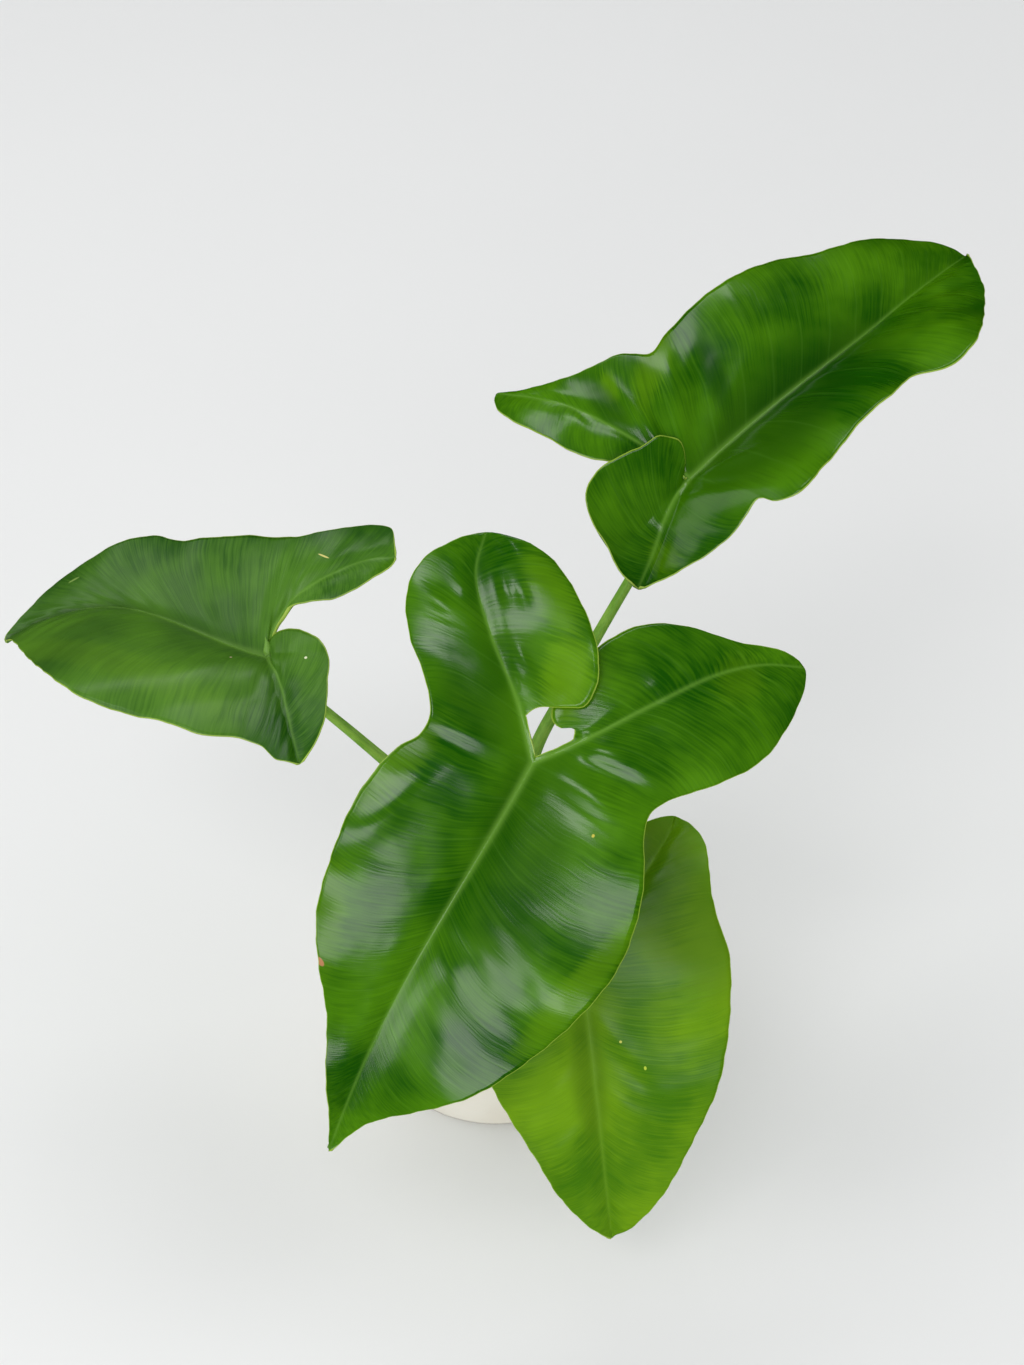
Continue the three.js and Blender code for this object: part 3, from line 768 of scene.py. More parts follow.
LEAVES = (
    Leaf(
        name="front",
        junction=(14, -75, 240),
        heading=-134,
        pitch=-49,
        roll=-30,
        tip=160,
        midrib_bend=-4,
        arch=7,
        fold=0.3,
        fold_width=45,
        tip_curl=0,
        left=Half(
            waist=(-4, 44),
            blade=(
                (4, 46), (13, 51), (26, 56), (47, 59), (71, 54), (93, 46), (111, 36), (128, 21), (141, 9),
                (150, 4), (156, 2),
            ),
            outer=((-11, 48), (-22, 59), (-37, 70), (-53, 73), (-65, 72)),
            lobe_tip=(-71, 69),
            inner=(
                (-73, 60), (-69, 45), (-65, 25), (-58, 11), (-46, 2), (-30, -2), (-20, -3), (-16, -1),
                (-15, 3), (-17, 7),
            ),
            rib=((-14, 11), (-36, 27), (-56, 43), (-66, 56)),
            naked=0.16,
            lobe_angle=138,
            lobe_length=98,
            lobe_rise=-8,
            inner_rise=-0.05,
            wave=Wave(height=1.5, length=52, phase=0),
        ),
        right=Half(
            waist=(0, 39),
            blade=(
                (8, 39), (16, 44), (34, 48), (55, 47), (77, 43), (94, 34), (110, 24), (131, 14), (148, 5),
                (156, 2),
            ),
            outer=((-10, 47), (-19, 58), (-31, 66), (-43, 67), (-54, 61)),
            lobe_tip=(-62, 52),
            inner=((-66, 38), (-65, 27), (-58, 13), (-46, -1), (-35, -7), (-26, -7), (-22, -1), (-18, 7)),
            rib=((-17, 15), (-32, 33), (-48, 48)),
            naked=0.2,
            lobe_angle=140,
            lobe_length=82,
            lobe_rise=-6,
            inner_rise=0.2,
            wave=Wave(height=1.5, length=46, phase=90),
        ),
        stalk_base=-120,
        stalk_route=((-5, -13, 128), (0, -28, 162), (7, -52, 206)),
        swells=(
            Swell(along=35, across=-36, length=24, width=6, turn=-24, height=1.1),
            Swell(along=0, across=-22, length=14, width=2.4, turn=90, height=0.7),
            Swell(along=6, across=-26, length=12, width=2.6, turn=85, height=-0.6),
            Swell(along=-7, across=-24, length=12, width=2.2, turn=95, height=0.4),
            Swell(along=-16, across=24, length=15, width=3.4, turn=90, height=1.0),
            Swell(along=-9, across=23, length=15, width=3.0, turn=90, height=-1.0),
            Swell(along=0, across=27, length=17, width=3.6, turn=88, height=0.9),
            Swell(along=8, across=30, length=15, width=3.2, turn=78, height=-0.5),
            Swell(along=66, across=42, length=15, width=7, turn=50, height=1.2),
            Swell(along=44, across=26, length=22, width=9, turn=35, height=-0.8),
            Swell(along=112, across=-16, length=10, width=3.5, turn=-160, height=-0.8),
            Swell(along=106, across=-9, length=10, width=3, turn=-160, height=0.5),
            Swell(along=-48, across=-36, length=4.5, width=1.8, turn=40, height=0.5),
            Swell(along=-50, across=-31, length=4.5, width=1.8, turn=45, height=0.5),
            Swell(along=-42, across=-49, length=4.5, width=2.4, turn=70, height=0.5),
            Swell(along=-34, across=-53, length=6, width=2.2, turn=80, height=0.4),
            Swell(along=-31, across=-43, length=10, width=1.0, turn=99, height=0.35),
            Swell(along=-31, across=-20, length=5, width=1.4, turn=60, height=0.45),
            Swell(along=-61, across=-46, length=7, width=2.4, turn=75, height=-1.2),
            Swell(along=-44, across=26, length=10, width=3, turn=60, height=0.5),
        ),
    ),
    Leaf(
        name="low",
        junction=(32, -90, 159),
        heading=-75,
        pitch=-65,
        roll=12,
        tip=123,
        midrib_bend=0,
        arch=6,
        fold=0.25,
        fold_width=40,
        tip_curl=0,
        left=Half(
            waist=(-8, 51),
            blade=((6, 54), (21, 53), (35, 51), (53, 46), (73, 37), (90, 28), (106, 18), (118, 8)),
            outer=((-19, 50), (-30, 50), (-38, 48)),
            lobe_tip=(-44, 40),
            inner=((-44, 31), (-39, 19), (-28, 12), (-16, 10)),
            rib=((-13, 15), (-25, 26), (-37, 36)),
            naked=0.2,
            lobe_angle=140,
            lobe_length=60,
            lobe_rise=-3,
            inner_rise=0,
            wave=Wave(height=1.2, length=45, phase=0),
        ),
        right=Half(
            waist=(-4, 38),
            blade=((10, 42), (25, 43), (42, 39), (60, 33), (81, 24), (99, 18), (111, 11), (119, 4)),
            outer=((-14, 41), (-26, 45), (-36, 43)),
            lobe_tip=(-43, 36),
            inner=((-43, 26), (-36, 16), (-25, 9), (-15, 8)),
            rib=((-13, 12), (-26, 23), (-37, 31)),
            naked=0.2,
            lobe_angle=140,
            lobe_length=58,
            lobe_rise=-3,
            inner_rise=0,
            wave=Wave(height=1.2, length=40, phase=60),
        ),
        stalk_base=-50,
        stalk_route=((9, -15, 125), (16, -36, 146), (24, -62, 158)),
        swells=(
            Swell(along=34, across=9, length=16, width=3.4, turn=35, height=0.7),
            Swell(along=48, across=14, length=14, width=3.4, turn=35, height=-0.7),
            Swell(along=60, across=9, length=14, width=3.4, turn=40, height=0.7),
            Swell(along=45, across=-12, length=14, width=3.6, turn=-40, height=-0.6),
            Swell(along=70, across=-8, length=14, width=3.4, turn=-40, height=0.5),
        ),
        dulling=0.08,
        growth=Growth.YOUNG,
    ),
    Leaf(
        name="left",
        junction=(-85, -7, 230),
        heading=159,
        pitch=-13,
        roll=-6,
        tip=122,
        midrib_bend=-16,
        arch=6,
        fold=0.5,
        fold_width=60,
        tip_curl=2,
        left=Half(
            waist=(-7, 40),
            blade=(
                (5, 45), (19, 45), (35, 46), (49, 46), (60, 42), (75, 33), (92, 21), (106, 10), (116, 3),
            ),
            outer=((-15, 40), (-22, 43)),
            lobe_tip=(-29, 41),
            inner=(
                (-34, 34), (-35, 24), (-31, 10), (-27, -1), (-20, -6), (-12, -9), (-5, -10),
                (0, -8), (1, -5),
            ),
            rib=((-9, 9), (-18, 23), (-24, 33)),
            naked=0.05,
            lobe_angle=125,
            lobe_length=45,
            lobe_rise=-16,
            inner_rise=0.6,
            wave=Wave(height=1.2, length=48, phase=0),
        ),
        right=Half(
            waist=(8, 45),
            blade=(
                (23, 47), (35, 44), (50, 42), (66, 46), (77, 43), (90, 38), (102, 34), (111, 26), (118, 11),
            ),
            outer=((-1, 46), (-10, 52), (-22, 59), (-32, 59), (-36, 53)),
            lobe_tip=(-38, 47),
            inner=((-39, 42), (-30, 32), (-20, 25), (-10, 21)),
            rib=((1, 9), (-3, 20), (-13, 31), (-28, 43)),
            naked=0.3,
            lobe_angle=130,
            lobe_length=60,
            lobe_rise=6,
            inner_rise=0.1,
            wave=Wave(height=1.5, length=42, phase=90),
        ),
        stalk_base=180,
        stalk_route=((-12, 0, 126), (-30, -4, 156), (-52, -7, 187), (-66, -8, 205)),
        blister_height=0.8,
        dulling=0.16,
        vein_sweep=0.85,
        swells=(
            Swell(along=20, across=-12, length=9, width=4, turn=-30, height=-0.8),
            Swell(along=6, across=-16, length=14, width=2.4, turn=-80, height=0.6),
            Swell(along=-2, across=-22, length=14, width=2.4, turn=-95, height=-0.5),
            Swell(along=10, across=14, length=14, width=3, turn=50, height=0.5),
            Swell(along=-4, across=18, length=14, width=3, turn=80, height=-0.4),
        ),
    ),
    Leaf(
        name="back",
        junction=(73, 32, 284),
        heading=43,
        pitch=12,
        roll=2,
        tip=161,
        midrib_bend=-4,
        arch=6,
        fold=0.5,
        fold_width=60,
        tip_curl=3,
        left=Half(
            waist=(25, 43),
            blade=(
                (37, 46), (52, 47), (68, 45), (85, 43), (97, 39), (105, 34), (118, 29), (134, 25),
                (148, 19), (157, 11),
            ),
            outer=((18, 50), (5, 56), (-5, 63), (-14, 71)),
            lobe_tip=(-22, 80),
            inner=((-28, 73), (-29, 62), (-27, 50), (-24, 34), (-16, 22), (-8, 15)),
            rib=((-2, 11), (-6, 29), (-10, 47), (-16, 65)),
            naked=0.15,
            lobe_angle=110,
            lobe_length=80,
            lobe_rise=2,
            inner_rise=0.05,
            wave=Wave(height=1.5, length=55, phase=0),
        ),
        right=Half(
            waist=(0, 34),
            blade=(
                (2, 41), (9, 47), (23, 45), (43, 42), (63, 43), (77, 41), (89, 49), (102, 49), (113, 44),
                (128, 34), (142, 23), (154, 8),
            ),
            outer=((-8, 33), (-19, 30), (-30, 25), (-38, 20)),
            lobe_tip=(-43, 13),
            inner=(
                (-44, 6), (-41, -3), (-40, -10), (-37, -17), (-29, -21), (-19, -20), (-9, -17), (-2, -16),
                (4, -14), (6, -10), (3.5, -5.5),
            ),
            rib=((-8, 1), (-19, 4), (-31, 9)),
            naked=0.05,
            lobe_angle=160,
            lobe_length=46,
            lobe_rise=-14,
            inner_rise=0.7,
            wave=Wave(height=1.8, length=50, phase=30),
        ),
        stalk_base=30,
        stalk_route=((11, 7, 128), (16, 9, 165), (29, 14, 195), (51, 23, 240)),
        swells=(
            Swell(along=22, across=16, length=20, width=3.6, turn=38, height=-1.4),
            Swell(along=16, across=22, length=20, width=3.2, turn=52, height=1.1),
            Swell(along=8, across=24, length=20, width=2.4, turn=66, height=-1.1),
            Swell(along=3, across=27, length=20, width=2.2, turn=78, height=0.9),
            Swell(along=28, across=8, length=18, width=3.4, turn=20, height=0.8),
            Swell(along=10, across=-10, length=12, width=3.2, turn=-40, height=0.9),
            Swell(along=0, across=-14, length=12, width=2.6, turn=-70, height=-0.8),
            Swell(along=-20, across=-6, length=9, width=2.4, turn=-80, height=0.6),
            Swell(along=60, across=26, length=18, width=4, turn=70, height=0.6),
            Swell(along=122, across=-6, length=20, width=5, turn=-10, height=0.9),
            Swell(along=134, across=-14, length=16, width=4, turn=-15, height=-0.8),
            Swell(along=-14, across=46, length=16, width=3, turn=80, height=0.5),
        ),
    ),
)


def relief_tool() -> NodeTool:
    """Builds the tree that pleats a leaf between its side veins and gives it its thickness.

    Returns:
        The tree, ready to be applied to a piece.
    """
    reliefs = {"Pleat Height": 0.0003, "Blister Height": 0.0018}
    sheet = {"Thickness": 0.0005, "Rib Thickness": 0.0017}
    tool = NodeTool("leaf_relief", {**reliefs, **sheet, "Upper": None, "Under": None})
    graph = tool.graph
    vein = graph.stored("vein")
    phase, share, rib = graph.separate(vein)
    normal = graph.add("GeometryNodeInputNormal").outputs[0]
    where = graph.add("GeometryNodeInputPosition").outputs[0]
    wandering = graph.math("MULTIPLY_ADD", graph.noise(where, 24.0, 1.0), 1.2, phase)
    wave = graph.math("COSINE", graph.product(wandering, 2 * math.pi))
    between = graph.math("MULTIPLY_ADD", wave, -0.5, 0.5)
    hump = graph.product(graph.math("POWER", share, 0.6), graph.math("SUBTRACT", 1.0, share))
    uneven = graph.product(graph.ramp(graph.noise(where, 17.0, 1.0), 0.35, 0.65), 3.2)
    pleat = graph.product(between, hump, tool.given("Pleat Height"), uneven)
    broad = graph.math("SUBTRACT", graph.noise(where, 34.0, 1.0), 0.5)
    close = graph.product(graph.math("SUBTRACT", graph.noise(where, 130.0, 1.0), 0.5), 0.12)
    blister = graph.product(graph.math("ADD", broad, close), tool.given("Blister Height"))
    blister = graph.product(blister, graph.ramp(share, 0.0, 0.3))
    lift = graph.scaled(normal, graph.math("ADD", pleat, blister))
    upper = graph.add("GeometryNodeSetPosition", {0: tool.given("Geometry"), "Offset": lift}).outputs[0]
    depth = graph.math("MULTIPLY_ADD", rib, tool.given("Rib Thickness"), tool.given("Thickness"))
    below = graph.scaled(normal, graph.product(depth, -1.0))
    body = {"Mesh": upper, "Offset": below, "Offset Scale": 1.0, "Individual": False}
    lower = graph.add("GeometryNodeExtrudeMesh", body, mode="FACES").outputs[0]
    lower = graph.add("GeometryNodeFlipFaces", {0: lower}).outputs[0]
    lower, upper = tool.coated(lower, "Under"), tool.coated(upper, "Upper")
    whole = graph.add("GeometryNodeJoinGeometry")
    tool.tree.links.new(upper, whole.inputs[0])
    tool.tree.links.new(lower, whole.inputs[0])
    merging = {0: whole.outputs[0], "Distance": SAME_PLACE}
    tool.finish(graph.add("GeometryNodeMergeByDistance", merging).outputs[0])
    return tool


def turned_tool() -> NodeTool:
    """Builds the tree that turns a profile, in the XZ plane, about the Z axis.

    Returns:
        The tree, ready to be applied to a piece.
    """
    tool = NodeTool("turned", {"Sides": 192, "Wave Height": 0.0, "Wave Scale": 20.0, "Material": None})
    graph = tool.graph
    profile = tool.given("Geometry")
    count = graph.add("GeometryNodeAttributeDomainSize", {0: profile}).outputs["Point Count"]
    sizes = {"Size X": 1.0, "Size Y": 1.0, "Vertices X": graph.math("ADD", tool.given("Sides"), 1.0)}
    grid = graph.add("GeometryNodeMeshGrid", {**sizes, "Vertices Y": count}).outputs[0]
    where = graph.add("GeometryNodeInputPosition").outputs[0]
    round_share, up_share, _ = graph.separate(where)
    turn = graph.product(graph.math("ADD", round_share, 0.5), 2 * math.pi)
    index = graph.product(graph.math("ADD", up_share, 0.5), graph.math("SUBTRACT", count, 1.0))
    index = graph.math("ROUND", index)
    inputs = {"Geometry": profile, "Value": where, "Index": index}
    row = graph.add("GeometryNodeSampleIndex", inputs, data_type="FLOAT_VECTOR", domain="POINT").outputs[0]
    radius, _, height = graph.separate(row)
    place = graph.add("ShaderNodeCombineXYZ", {
        0: graph.product(radius, graph.math("COSINE", turn)),
        1: graph.product(radius, graph.math("SINE", turn)),
        2: height,
    })
    body = graph.add("GeometryNodeSetPosition", {0: grid, "Position": place.outputs[0]}).outputs[0]
    body = graph.add("GeometryNodeMergeByDistance", {0: body, "Distance": SAME_PLACE}).outputs[0]
    swell = graph.math("SUBTRACT", graph.noise(where, tool.given("Wave Scale")), 0.5)
    swell = graph.product(swell, tool.given("Wave Height"))
    offset = graph.scaled(graph.add("GeometryNodeInputNormal").outputs[0], swell)
    body = graph.add("GeometryNodeSetPosition", {0: body, "Offset": offset}).outputs[0]
    tool.finish(tool.coated(body))
    return tool


def swept_tool() -> NodeTool:
    """Builds the tree that sweeps a channelled stalk section along a path.

    Returns:
        The tree, ready to be applied to a piece.
    """
    sizes = {"Base Radius": 0.0036, "Top Radius": 0.0019, "Taper Power": 1.5, "Channel Depth": 0.35}
    ends = {"Clasp Width": 0.35, "Clasp Share": 0.08, "Swelling": 0.15, "End Share": 0.012}
    tool = NodeTool("swept_stalk", {"Steps": 120, "Sides": 28, **sizes, **ends, "Material": None})
    graph = tool.graph
    curve = graph.add("GeometryNodeMeshToCurve", {0: tool.given("Geometry")}).outputs[0]
    counts = {
        "Vertices X": graph.math("ADD", tool.given("Steps"), 1.0),
        "Vertices Y": graph.math("ADD", tool.given("Sides"), 1.0),
    }
    grid = graph.add("GeometryNodeMeshGrid", {"Size X": 1.0, "Size Y": 1.0, **counts}).outputs[0]
    where = graph.add("GeometryNodeInputPosition").outputs[0]
    length_share, round_share, _ = graph.separate(where)
    share = graph.math("ADD", length_share, 0.5)
    angle = graph.product(graph.math("ADD", round_share, 0.5), 2 * math.pi)
    level = graph.stored("level")
    sampling = {"Curves": curve, "Value": level, "Factor": share}
    sample = graph.add("GeometryNodeSampleCurve", sampling, data_type="FLOAT_VECTOR", mode="FACTOR").outputs
    tangent = sample["Tangent"]
    lean = graph.add("ShaderNodeVectorMath", {0: sample["Value"], 1: tangent}, operation="DOT_PRODUCT")
    square = graph.vector("SUBTRACT", sample["Value"], graph.scaled(tangent, lean.outputs["Value"]))
    across = graph.vector("NORMALIZE", square)
    upper = graph.vector("CROSS_PRODUCT", tangent, across)
    rest = graph.math("POWER", graph.math("SUBTRACT", 1.0, share), tool.given("Taper Power"))
    spread = graph.math("SUBTRACT", tool.given("Base Radius"), tool.given("Top Radius"))
    radius = graph.math("MULTIPLY_ADD", rest, spread, tool.given("Top Radius"))
    from_top = graph.math("SUBTRACT", 1.0, share)
    swelling = graph.product(graph.bell(from_top, 0.05), tool.given("Swelling"))
    radius = graph.product(radius, graph.math("ADD", 1.0, swelling))
    nearest = graph.math("DIVIDE", graph.math("MINIMUM", share, from_top), tool.given("End Share"))
    short = graph.math("SUBTRACT", 1.0, graph.math("MINIMUM", nearest, 1.0))
    closing = graph.math("SQRT", graph.math("SUBTRACT", 1.0, graph.product(short, short)))
    radius = graph.product(radius, closing)
    clasp = graph.product(graph.bell(share, tool.given("Clasp Share")), tool.given("Clasp Width"))
    cosine, rise = graph.math("COSINE", angle), graph.math("SINE", angle)
    above = graph.math("GREATER_THAN", rise, 0.0)
    channel = graph.product(graph.bell(cosine, 0.55), tool.given("Channel Depth"))
    shallow = graph.math("SUBTRACT", 1.0, graph.product(above, graph.math("ADD", channel, 0.08)))
    wide = graph.product(radius, cosine, graph.math("ADD", 1.0, clasp))
    high = graph.product(radius, rise, shallow)
    around = graph.vector("ADD", graph.scaled(across, wide), graph.scaled(upper, high))
    place = graph.vector("ADD", sample["Position"], around)
    tube = graph.add("GeometryNodeStoreNamedAttribute", {0: grid, "Name": "share", "Value": share})
    tube = graph.add("GeometryNodeStoreNamedAttribute", {0: tube.outputs[0], "Name": "rise", "Value": rise})
    tube = graph.add("GeometryNodeSetPosition", {0: tube.outputs[0], "Position": place}).outputs[0]
    tube = graph.add("GeometryNodeMergeByDistance", {0: tube, "Distance": SAME_PLACE}).outputs[0]
    tool.finish(tool.coated(tube))
    return tool


def face_outward(piece: Piece) -> Piece:
    """Turns a closed piece's faces outward if its volume comes out below zero.

    Args:
        piece: A closed mesh object.

    Returns:
        The same object.
    """
    mesh = piece.data
    mesh.calc_loop_triangles()
    points = np.empty(3 * len(mesh.vertices))
    mesh.vertices.foreach_get("co", points)
    corners = np.empty(3 * len(mesh.loop_triangles), dtype=int)
    mesh.loop_triangles.foreach_get("vertices", corners)
    a, b, c = points.reshape(-1, 3)[corners.reshape(-1, 3)].transpose(1, 0, 2)
    if np.einsum("ij,ij->", a, np.cross(b, c)) < 0:
        mesh.flip_normals()
    return piece


def new_material(name: str) -> tuple[Material, Graph, bpy.types.Node]:
    """Makes a node material.

    Args:
        name: The material's name.

    Returns:
        The material, its graph and its Principled BSDF.
    """
    material = bpy.data.materials.new(name)
    material.use_nodes = True
    graph = Graph(material.node_tree)
    return material, graph, material.node_tree.nodes["Principled BSDF"]


def bumped(graph: Graph, surface: bpy.types.Node, height: object, distance: float) -> None:
    """Bumps a surface by a height of 0 to 1 that stands for that distance in metres."""
    bump = graph.add("ShaderNodeBump", {"Height": height, "Distance": distance})
    graph.feed(surface.inputs["Normal"], bump.outputs[0])


@dataclass(frozen=True)
class Mark:
    """A mark on a leaf, as an ellipse in millimetres, turned in degrees: a small blemish, a soft patch of
    painted sheen and glow, or a soft patch of painted shade.
    """

    along: float
    across: float
    length: float
    width: float
    turn: float
    colour: Colour
    softness: float = 0.35
    strength: float = 1.0


STREAKS_PER_VEIN = 20.0
BLURRED = 0.98


def leaf_pattern() -> bpy.types.NodeTree:
    """Builds the shader group that reads a leaf's veins, margin and mottling, once for all leaves.

    Returns:
        The group, whose outputs are masks, a mottling and a height.
    """
    tree = bpy.data.node_groups.new("leaf_pattern", "ShaderNodeTree")
    for label in ("Rib", "Vein", "Margin", "Mottle", "Height", "Streaks"):
        tree.interface.new_socket(label, in_out="OUTPUT", socket_type="NodeSocketFloat")
    graph = Graph(tree)
    vein = graph.add("ShaderNodeAttribute", attribute_name="vein").outputs["Vector"]
    place = graph.add("ShaderNodeAttribute", attribute_name="place").outputs["Vector"]
    phase, share, _ = graph.separate(vein)
    _, _, from_margin = graph.separate(place)
    where = graph.coordinates()
    wander = graph.product(graph.math("SUBTRACT", graph.noise(where, 60.0, 1.0), 0.5), 0.16)
    bent = graph.math("ADD", phase, wander)
    main = graph.bell(graph.math("PINGPONG", bent, 0.5), graph.math("MULTIPLY_ADD", share, -0.018, 0.034))
    streak_place = graph.add("ShaderNodeCombineXYZ", {
        0: graph.product(bent, STREAKS_PER_VEIN),
        1: graph.product(share, 2.2),
    })
    streaks = graph.ramp(graph.noise(streak_place.outputs[0], 1.0, 2.0), 0.25, 0.75)
    rib_band = graph.add("ShaderNodeAttribute", attribute_name="rib").outputs["Fac"]
    height = graph.math("MULTIPLY_ADD", main, -0.25, streaks)
    height = graph.math("MULTIPLY_ADD", rib_band, 0.8, height)
    mottle = graph.noise(where, 28.0, 3.0)
    margin = graph.ramp(from_margin, 0.42, 0.12)
    end = graph.add("NodeGroupOutput")
    values = (rib_band, main, margin, mottle, height, streaks)
    for socket, value in zip(end.inputs, values):
        graph.feed(socket, value)
    return tree


@dataclass(frozen=True)
class LeafFinish:
    """The colours and gloss of a leaf's two faces."""

    deep: Colour
    fresh: Colour
    vein: Colour
    rib: Colour
    margin: Colour
    under: Colour
    roughness: float
    ior: float = 1.44

    def upper(self, leaf: Leaf, pattern: bpy.types.NodeTree, marks: Sequence[Mark]) -> Material:
        """Makes the glossy upper face.

        Args:
            leaf: The leaf that it belongs to.
            pattern: The shader group of veins and mottling.
            marks: The marks on this leaf: its blemishes and its patches of painted sheen and painted shade.

        Returns:
            The material.
        """
        material, graph, surface = new_material(f"blade_{leaf.name}_upper")
        group = graph.add("ShaderNodeGroup", node_tree=pattern).outputs
        share = graph.ramp(group["Mottle"], 0.26, 0.8)
        share = graph.math("MULTIPLY_ADD", graph.math("SUBTRACT", group["Streaks"], 0.5), 0.34, share)
        colour = graph.mix(share, linear(self.deep), linear(self.fresh))
        place = graph.add("ShaderNodeAttribute", attribute_name="place").outputs["Vector"]
        along, across, _ = graph.separate(place)
        ragged = graph.math("MULTIPLY_ADD", group["Streaks"], -0.7, 1.3)
        ragged = graph.product(ragged, graph.math("MULTIPLY_ADD", group["Mottle"], -1.6, 1.8))
        # Lays the marks: small blemishes, and soft patches of painted sheen and painted shade whose edges
        # the streaks and mottling break up.
        for mark in marks:
            breaking = ragged if mark.softness >= BLURRED else 1.0
            spot = self._spot(graph, mark, along, across, breaking)
            amount = graph.product(spot, mark.strength)
            colour = graph.mix(amount, colour, linear(mark.colour))
        colour = graph.mix(graph.product(group["Vein"], 0.08), colour, linear(self.vein))
        colour = graph.mix(graph.product(group["Rib"], 0.6), colour, linear(self.rib))
        colour = graph.mix(graph.product(group["Margin"], 0.8), colour, linear(self.margin))
        graph.feed(surface.inputs["Base Color"], colour)
        rough = graph.math("MULTIPLY_ADD", group["Mottle"], 0.12, self.roughness + leaf.dulling - 0.06)
        graph.feed(surface.inputs["Roughness"], rough)
        surface.inputs["IOR"].default_value = self.ior
        bumped(graph, surface, group["Height"], 0.000016)
        return material

    @staticmethod
    def _spot(graph: Graph, mark: Mark, along: Socket, across: Socket, ragged: object) -> Socket:
        """Returns 1 inside an elliptical mark, with a soft edge that is broken up by a ragged factor.

        Args:
            graph: The graph that the nodes are added to.
            mark: The mark's place, size and softness.
            along: Places along the leaf, in millimetres.
            across: Places across the leaf, in millimetres.
            ragged: What breaks up its edge.

        Returns:
            The mark's mask.
        """
        cosine, sine = math.cos(math.radians(mark.turn)), math.sin(math.radians(mark.turn))
        forward = graph.math("SUBTRACT", along, mark.along)
        sideways = graph.math("SUBTRACT", across, mark.across)
        down = graph.math("ADD", graph.product(forward, cosine), graph.product(sideways, sine))
        over = graph.math("ADD", graph.product(sideways, cosine), graph.product(forward, -sine))
        down = graph.math("DIVIDE", down, mark.length)
        over = graph.math("DIVIDE", over, mark.width)
        long_share, wide_share = graph.product(down, down), graph.product(over, over)
        reach = graph.product(graph.math("ADD", long_share, wide_share), ragged)
        limits = {0: reach, 1: 1.0 + mark.softness, 2: 1.0 - mark.softness}
        return graph.add("ShaderNodeMapRange", limits, interpolation_type="SMOOTHSTEP").outputs[0]

    def lower(self, name: str, pattern: bpy.types.NodeTree) -> Material:
        """Makes the paler, duller underside.

        Args:
            name: The blade's name.
            pattern: The shader group of veins and mottling.

        Returns:
            The material.
        """
        material, graph, surface = new_material(f"{name}_under")
        group = graph.add("ShaderNodeGroup", node_tree=pattern).outputs
        tint = graph.mix(graph.ramp(group["Mottle"], 0.3, 0.75), linear(self.under), linear(self.fresh))
        colour = graph.mix(graph.product(group["Vein"], 0.5), tint, linear(self.rib))
        colour = graph.mix(group["Rib"], colour, linear(self.rib))
        graph.feed(surface.inputs["Base Color"], graph.mix(group["Margin"], colour, linear(self.margin)))
        graph.feed(surface.inputs["Roughness"], graph.math("MULTIPLY_ADD", group["Mottle"], 0.15, 0.42))
        bumped(graph, surface, group["Height"], 0.0001)
        return material


@dataclass(frozen=True)
class MottledFinish:
    """A finish of two colours mixed by noise, with grain of a given size and height in metres."""

    first: Colour
    second: Colour
    mottle_size: float
    grain_size: float
    grain_height: float
    roughness: float

    def make(self, name: str) -> Material:
        """Makes the material.

        Args:
            name: The material's name.

        Returns:
            The material.
        """
        material, graph, surface = new_material(name)
        where = graph.coordinates()
        mottle = graph.ramp(graph.noise(where, 1 / self.mottle_size, 5.0), 0.3, 0.72)
        grain = graph.noise(where, 1 / self.grain_size, 4.0)
        graph.feed(surface.inputs["Base Color"], graph.mix(mottle, linear(self.first), linear(self.second)))
        rough = graph.math("MULTIPLY_ADD", grain, 0.12, self.roughness - 0.06)
        graph.feed(surface.inputs["Roughness"], rough)
        bumped(graph, surface, grain, self.grain_height)
        return material


BLACK_PLASTIC = MottledFinish(
    first=(21, 22, 23),
    second=(32, 33, 34),
    mottle_size=0.012,
    grain_size=0.0006,
    grain_height=0.00003,
    roughness=0.5,
)
DARK_PEAT = MottledFinish(
    first=(30, 21, 16),
    second=(58, 42, 31),
    mottle_size=0.004,
    grain_size=0.0011,
    grain_height=0.0006,
    roughness=0.9,
)


def arc(centre: Point, radius: float, start: float, end: float, steps: int) -> list[Point]:
    """Returns points on an arc between two angles in degrees."""
    angles = np.radians(np.linspace(start, end, steps + 1))
    return [(centre[0] + radius * math.cos(a), centre[1] + radius * math.sin(a)) for a in angles]


def dense(profile: Sequence[Point], spacing: float) -> list[Point]:
    """Adds points along a profile's long runs.

    Args:
        profile: Points of radius and height.
        spacing: The longest step between two points.

    Returns:
        The profile with the points added.
    """
    points = [profile[0]]
    for start, end in zip(profile, profile[1:]):
        steps = max(1, math.ceil(math.dist(start, end) / spacing))
        points += [tuple(np.add(start, np.subtract(end, start) * i / steps)) for i in range(1, steps + 1)]
    return points


def rounded(profile: Sequence[Point], radius: float, steps: int = 3) -> list[Point]:
    """Cuts each inner corner of a profile with a small arc.

    Args:
        profile: Points of radius and height.
        radius: How far each arc reaches from its corner.
        steps: The steps in each arc.

    Returns:
        The profile with its corners cut.
    """
    points = [profile[0]]
    for before, corner, after in zip(profile, profile[1:], profile[2:]):
        back, forth = np.subtract(before, corner), np.subtract(after, corner)
        reach = min(radius, 0.45 * np.linalg.norm(back), 0.45 * np.linalg.norm(forth))
        start = np.add(corner, back / np.linalg.norm(back) * reach)
        end = np.add(corner, forth / np.linalg.norm(forth) * reach)
        for i in range(steps + 1):
            t = i / steps
            points.append(tuple((1 - t) ** 2 * start + 2 * t * (1 - t) * np.asarray(corner) + t**2 * end))
    return [*points, profile[-1]]


def profile_piece(name: str, profile: Sequence[Point]) -> Piece:
    """Makes a line of points from a profile of radius and height in millimetres."""
    points = [(radius * MM, 0.0, height * MM) for radius, height in profile]
    return new_piece(name, points, [], [(i, i + 1) for i in range(len(points) - 1)])


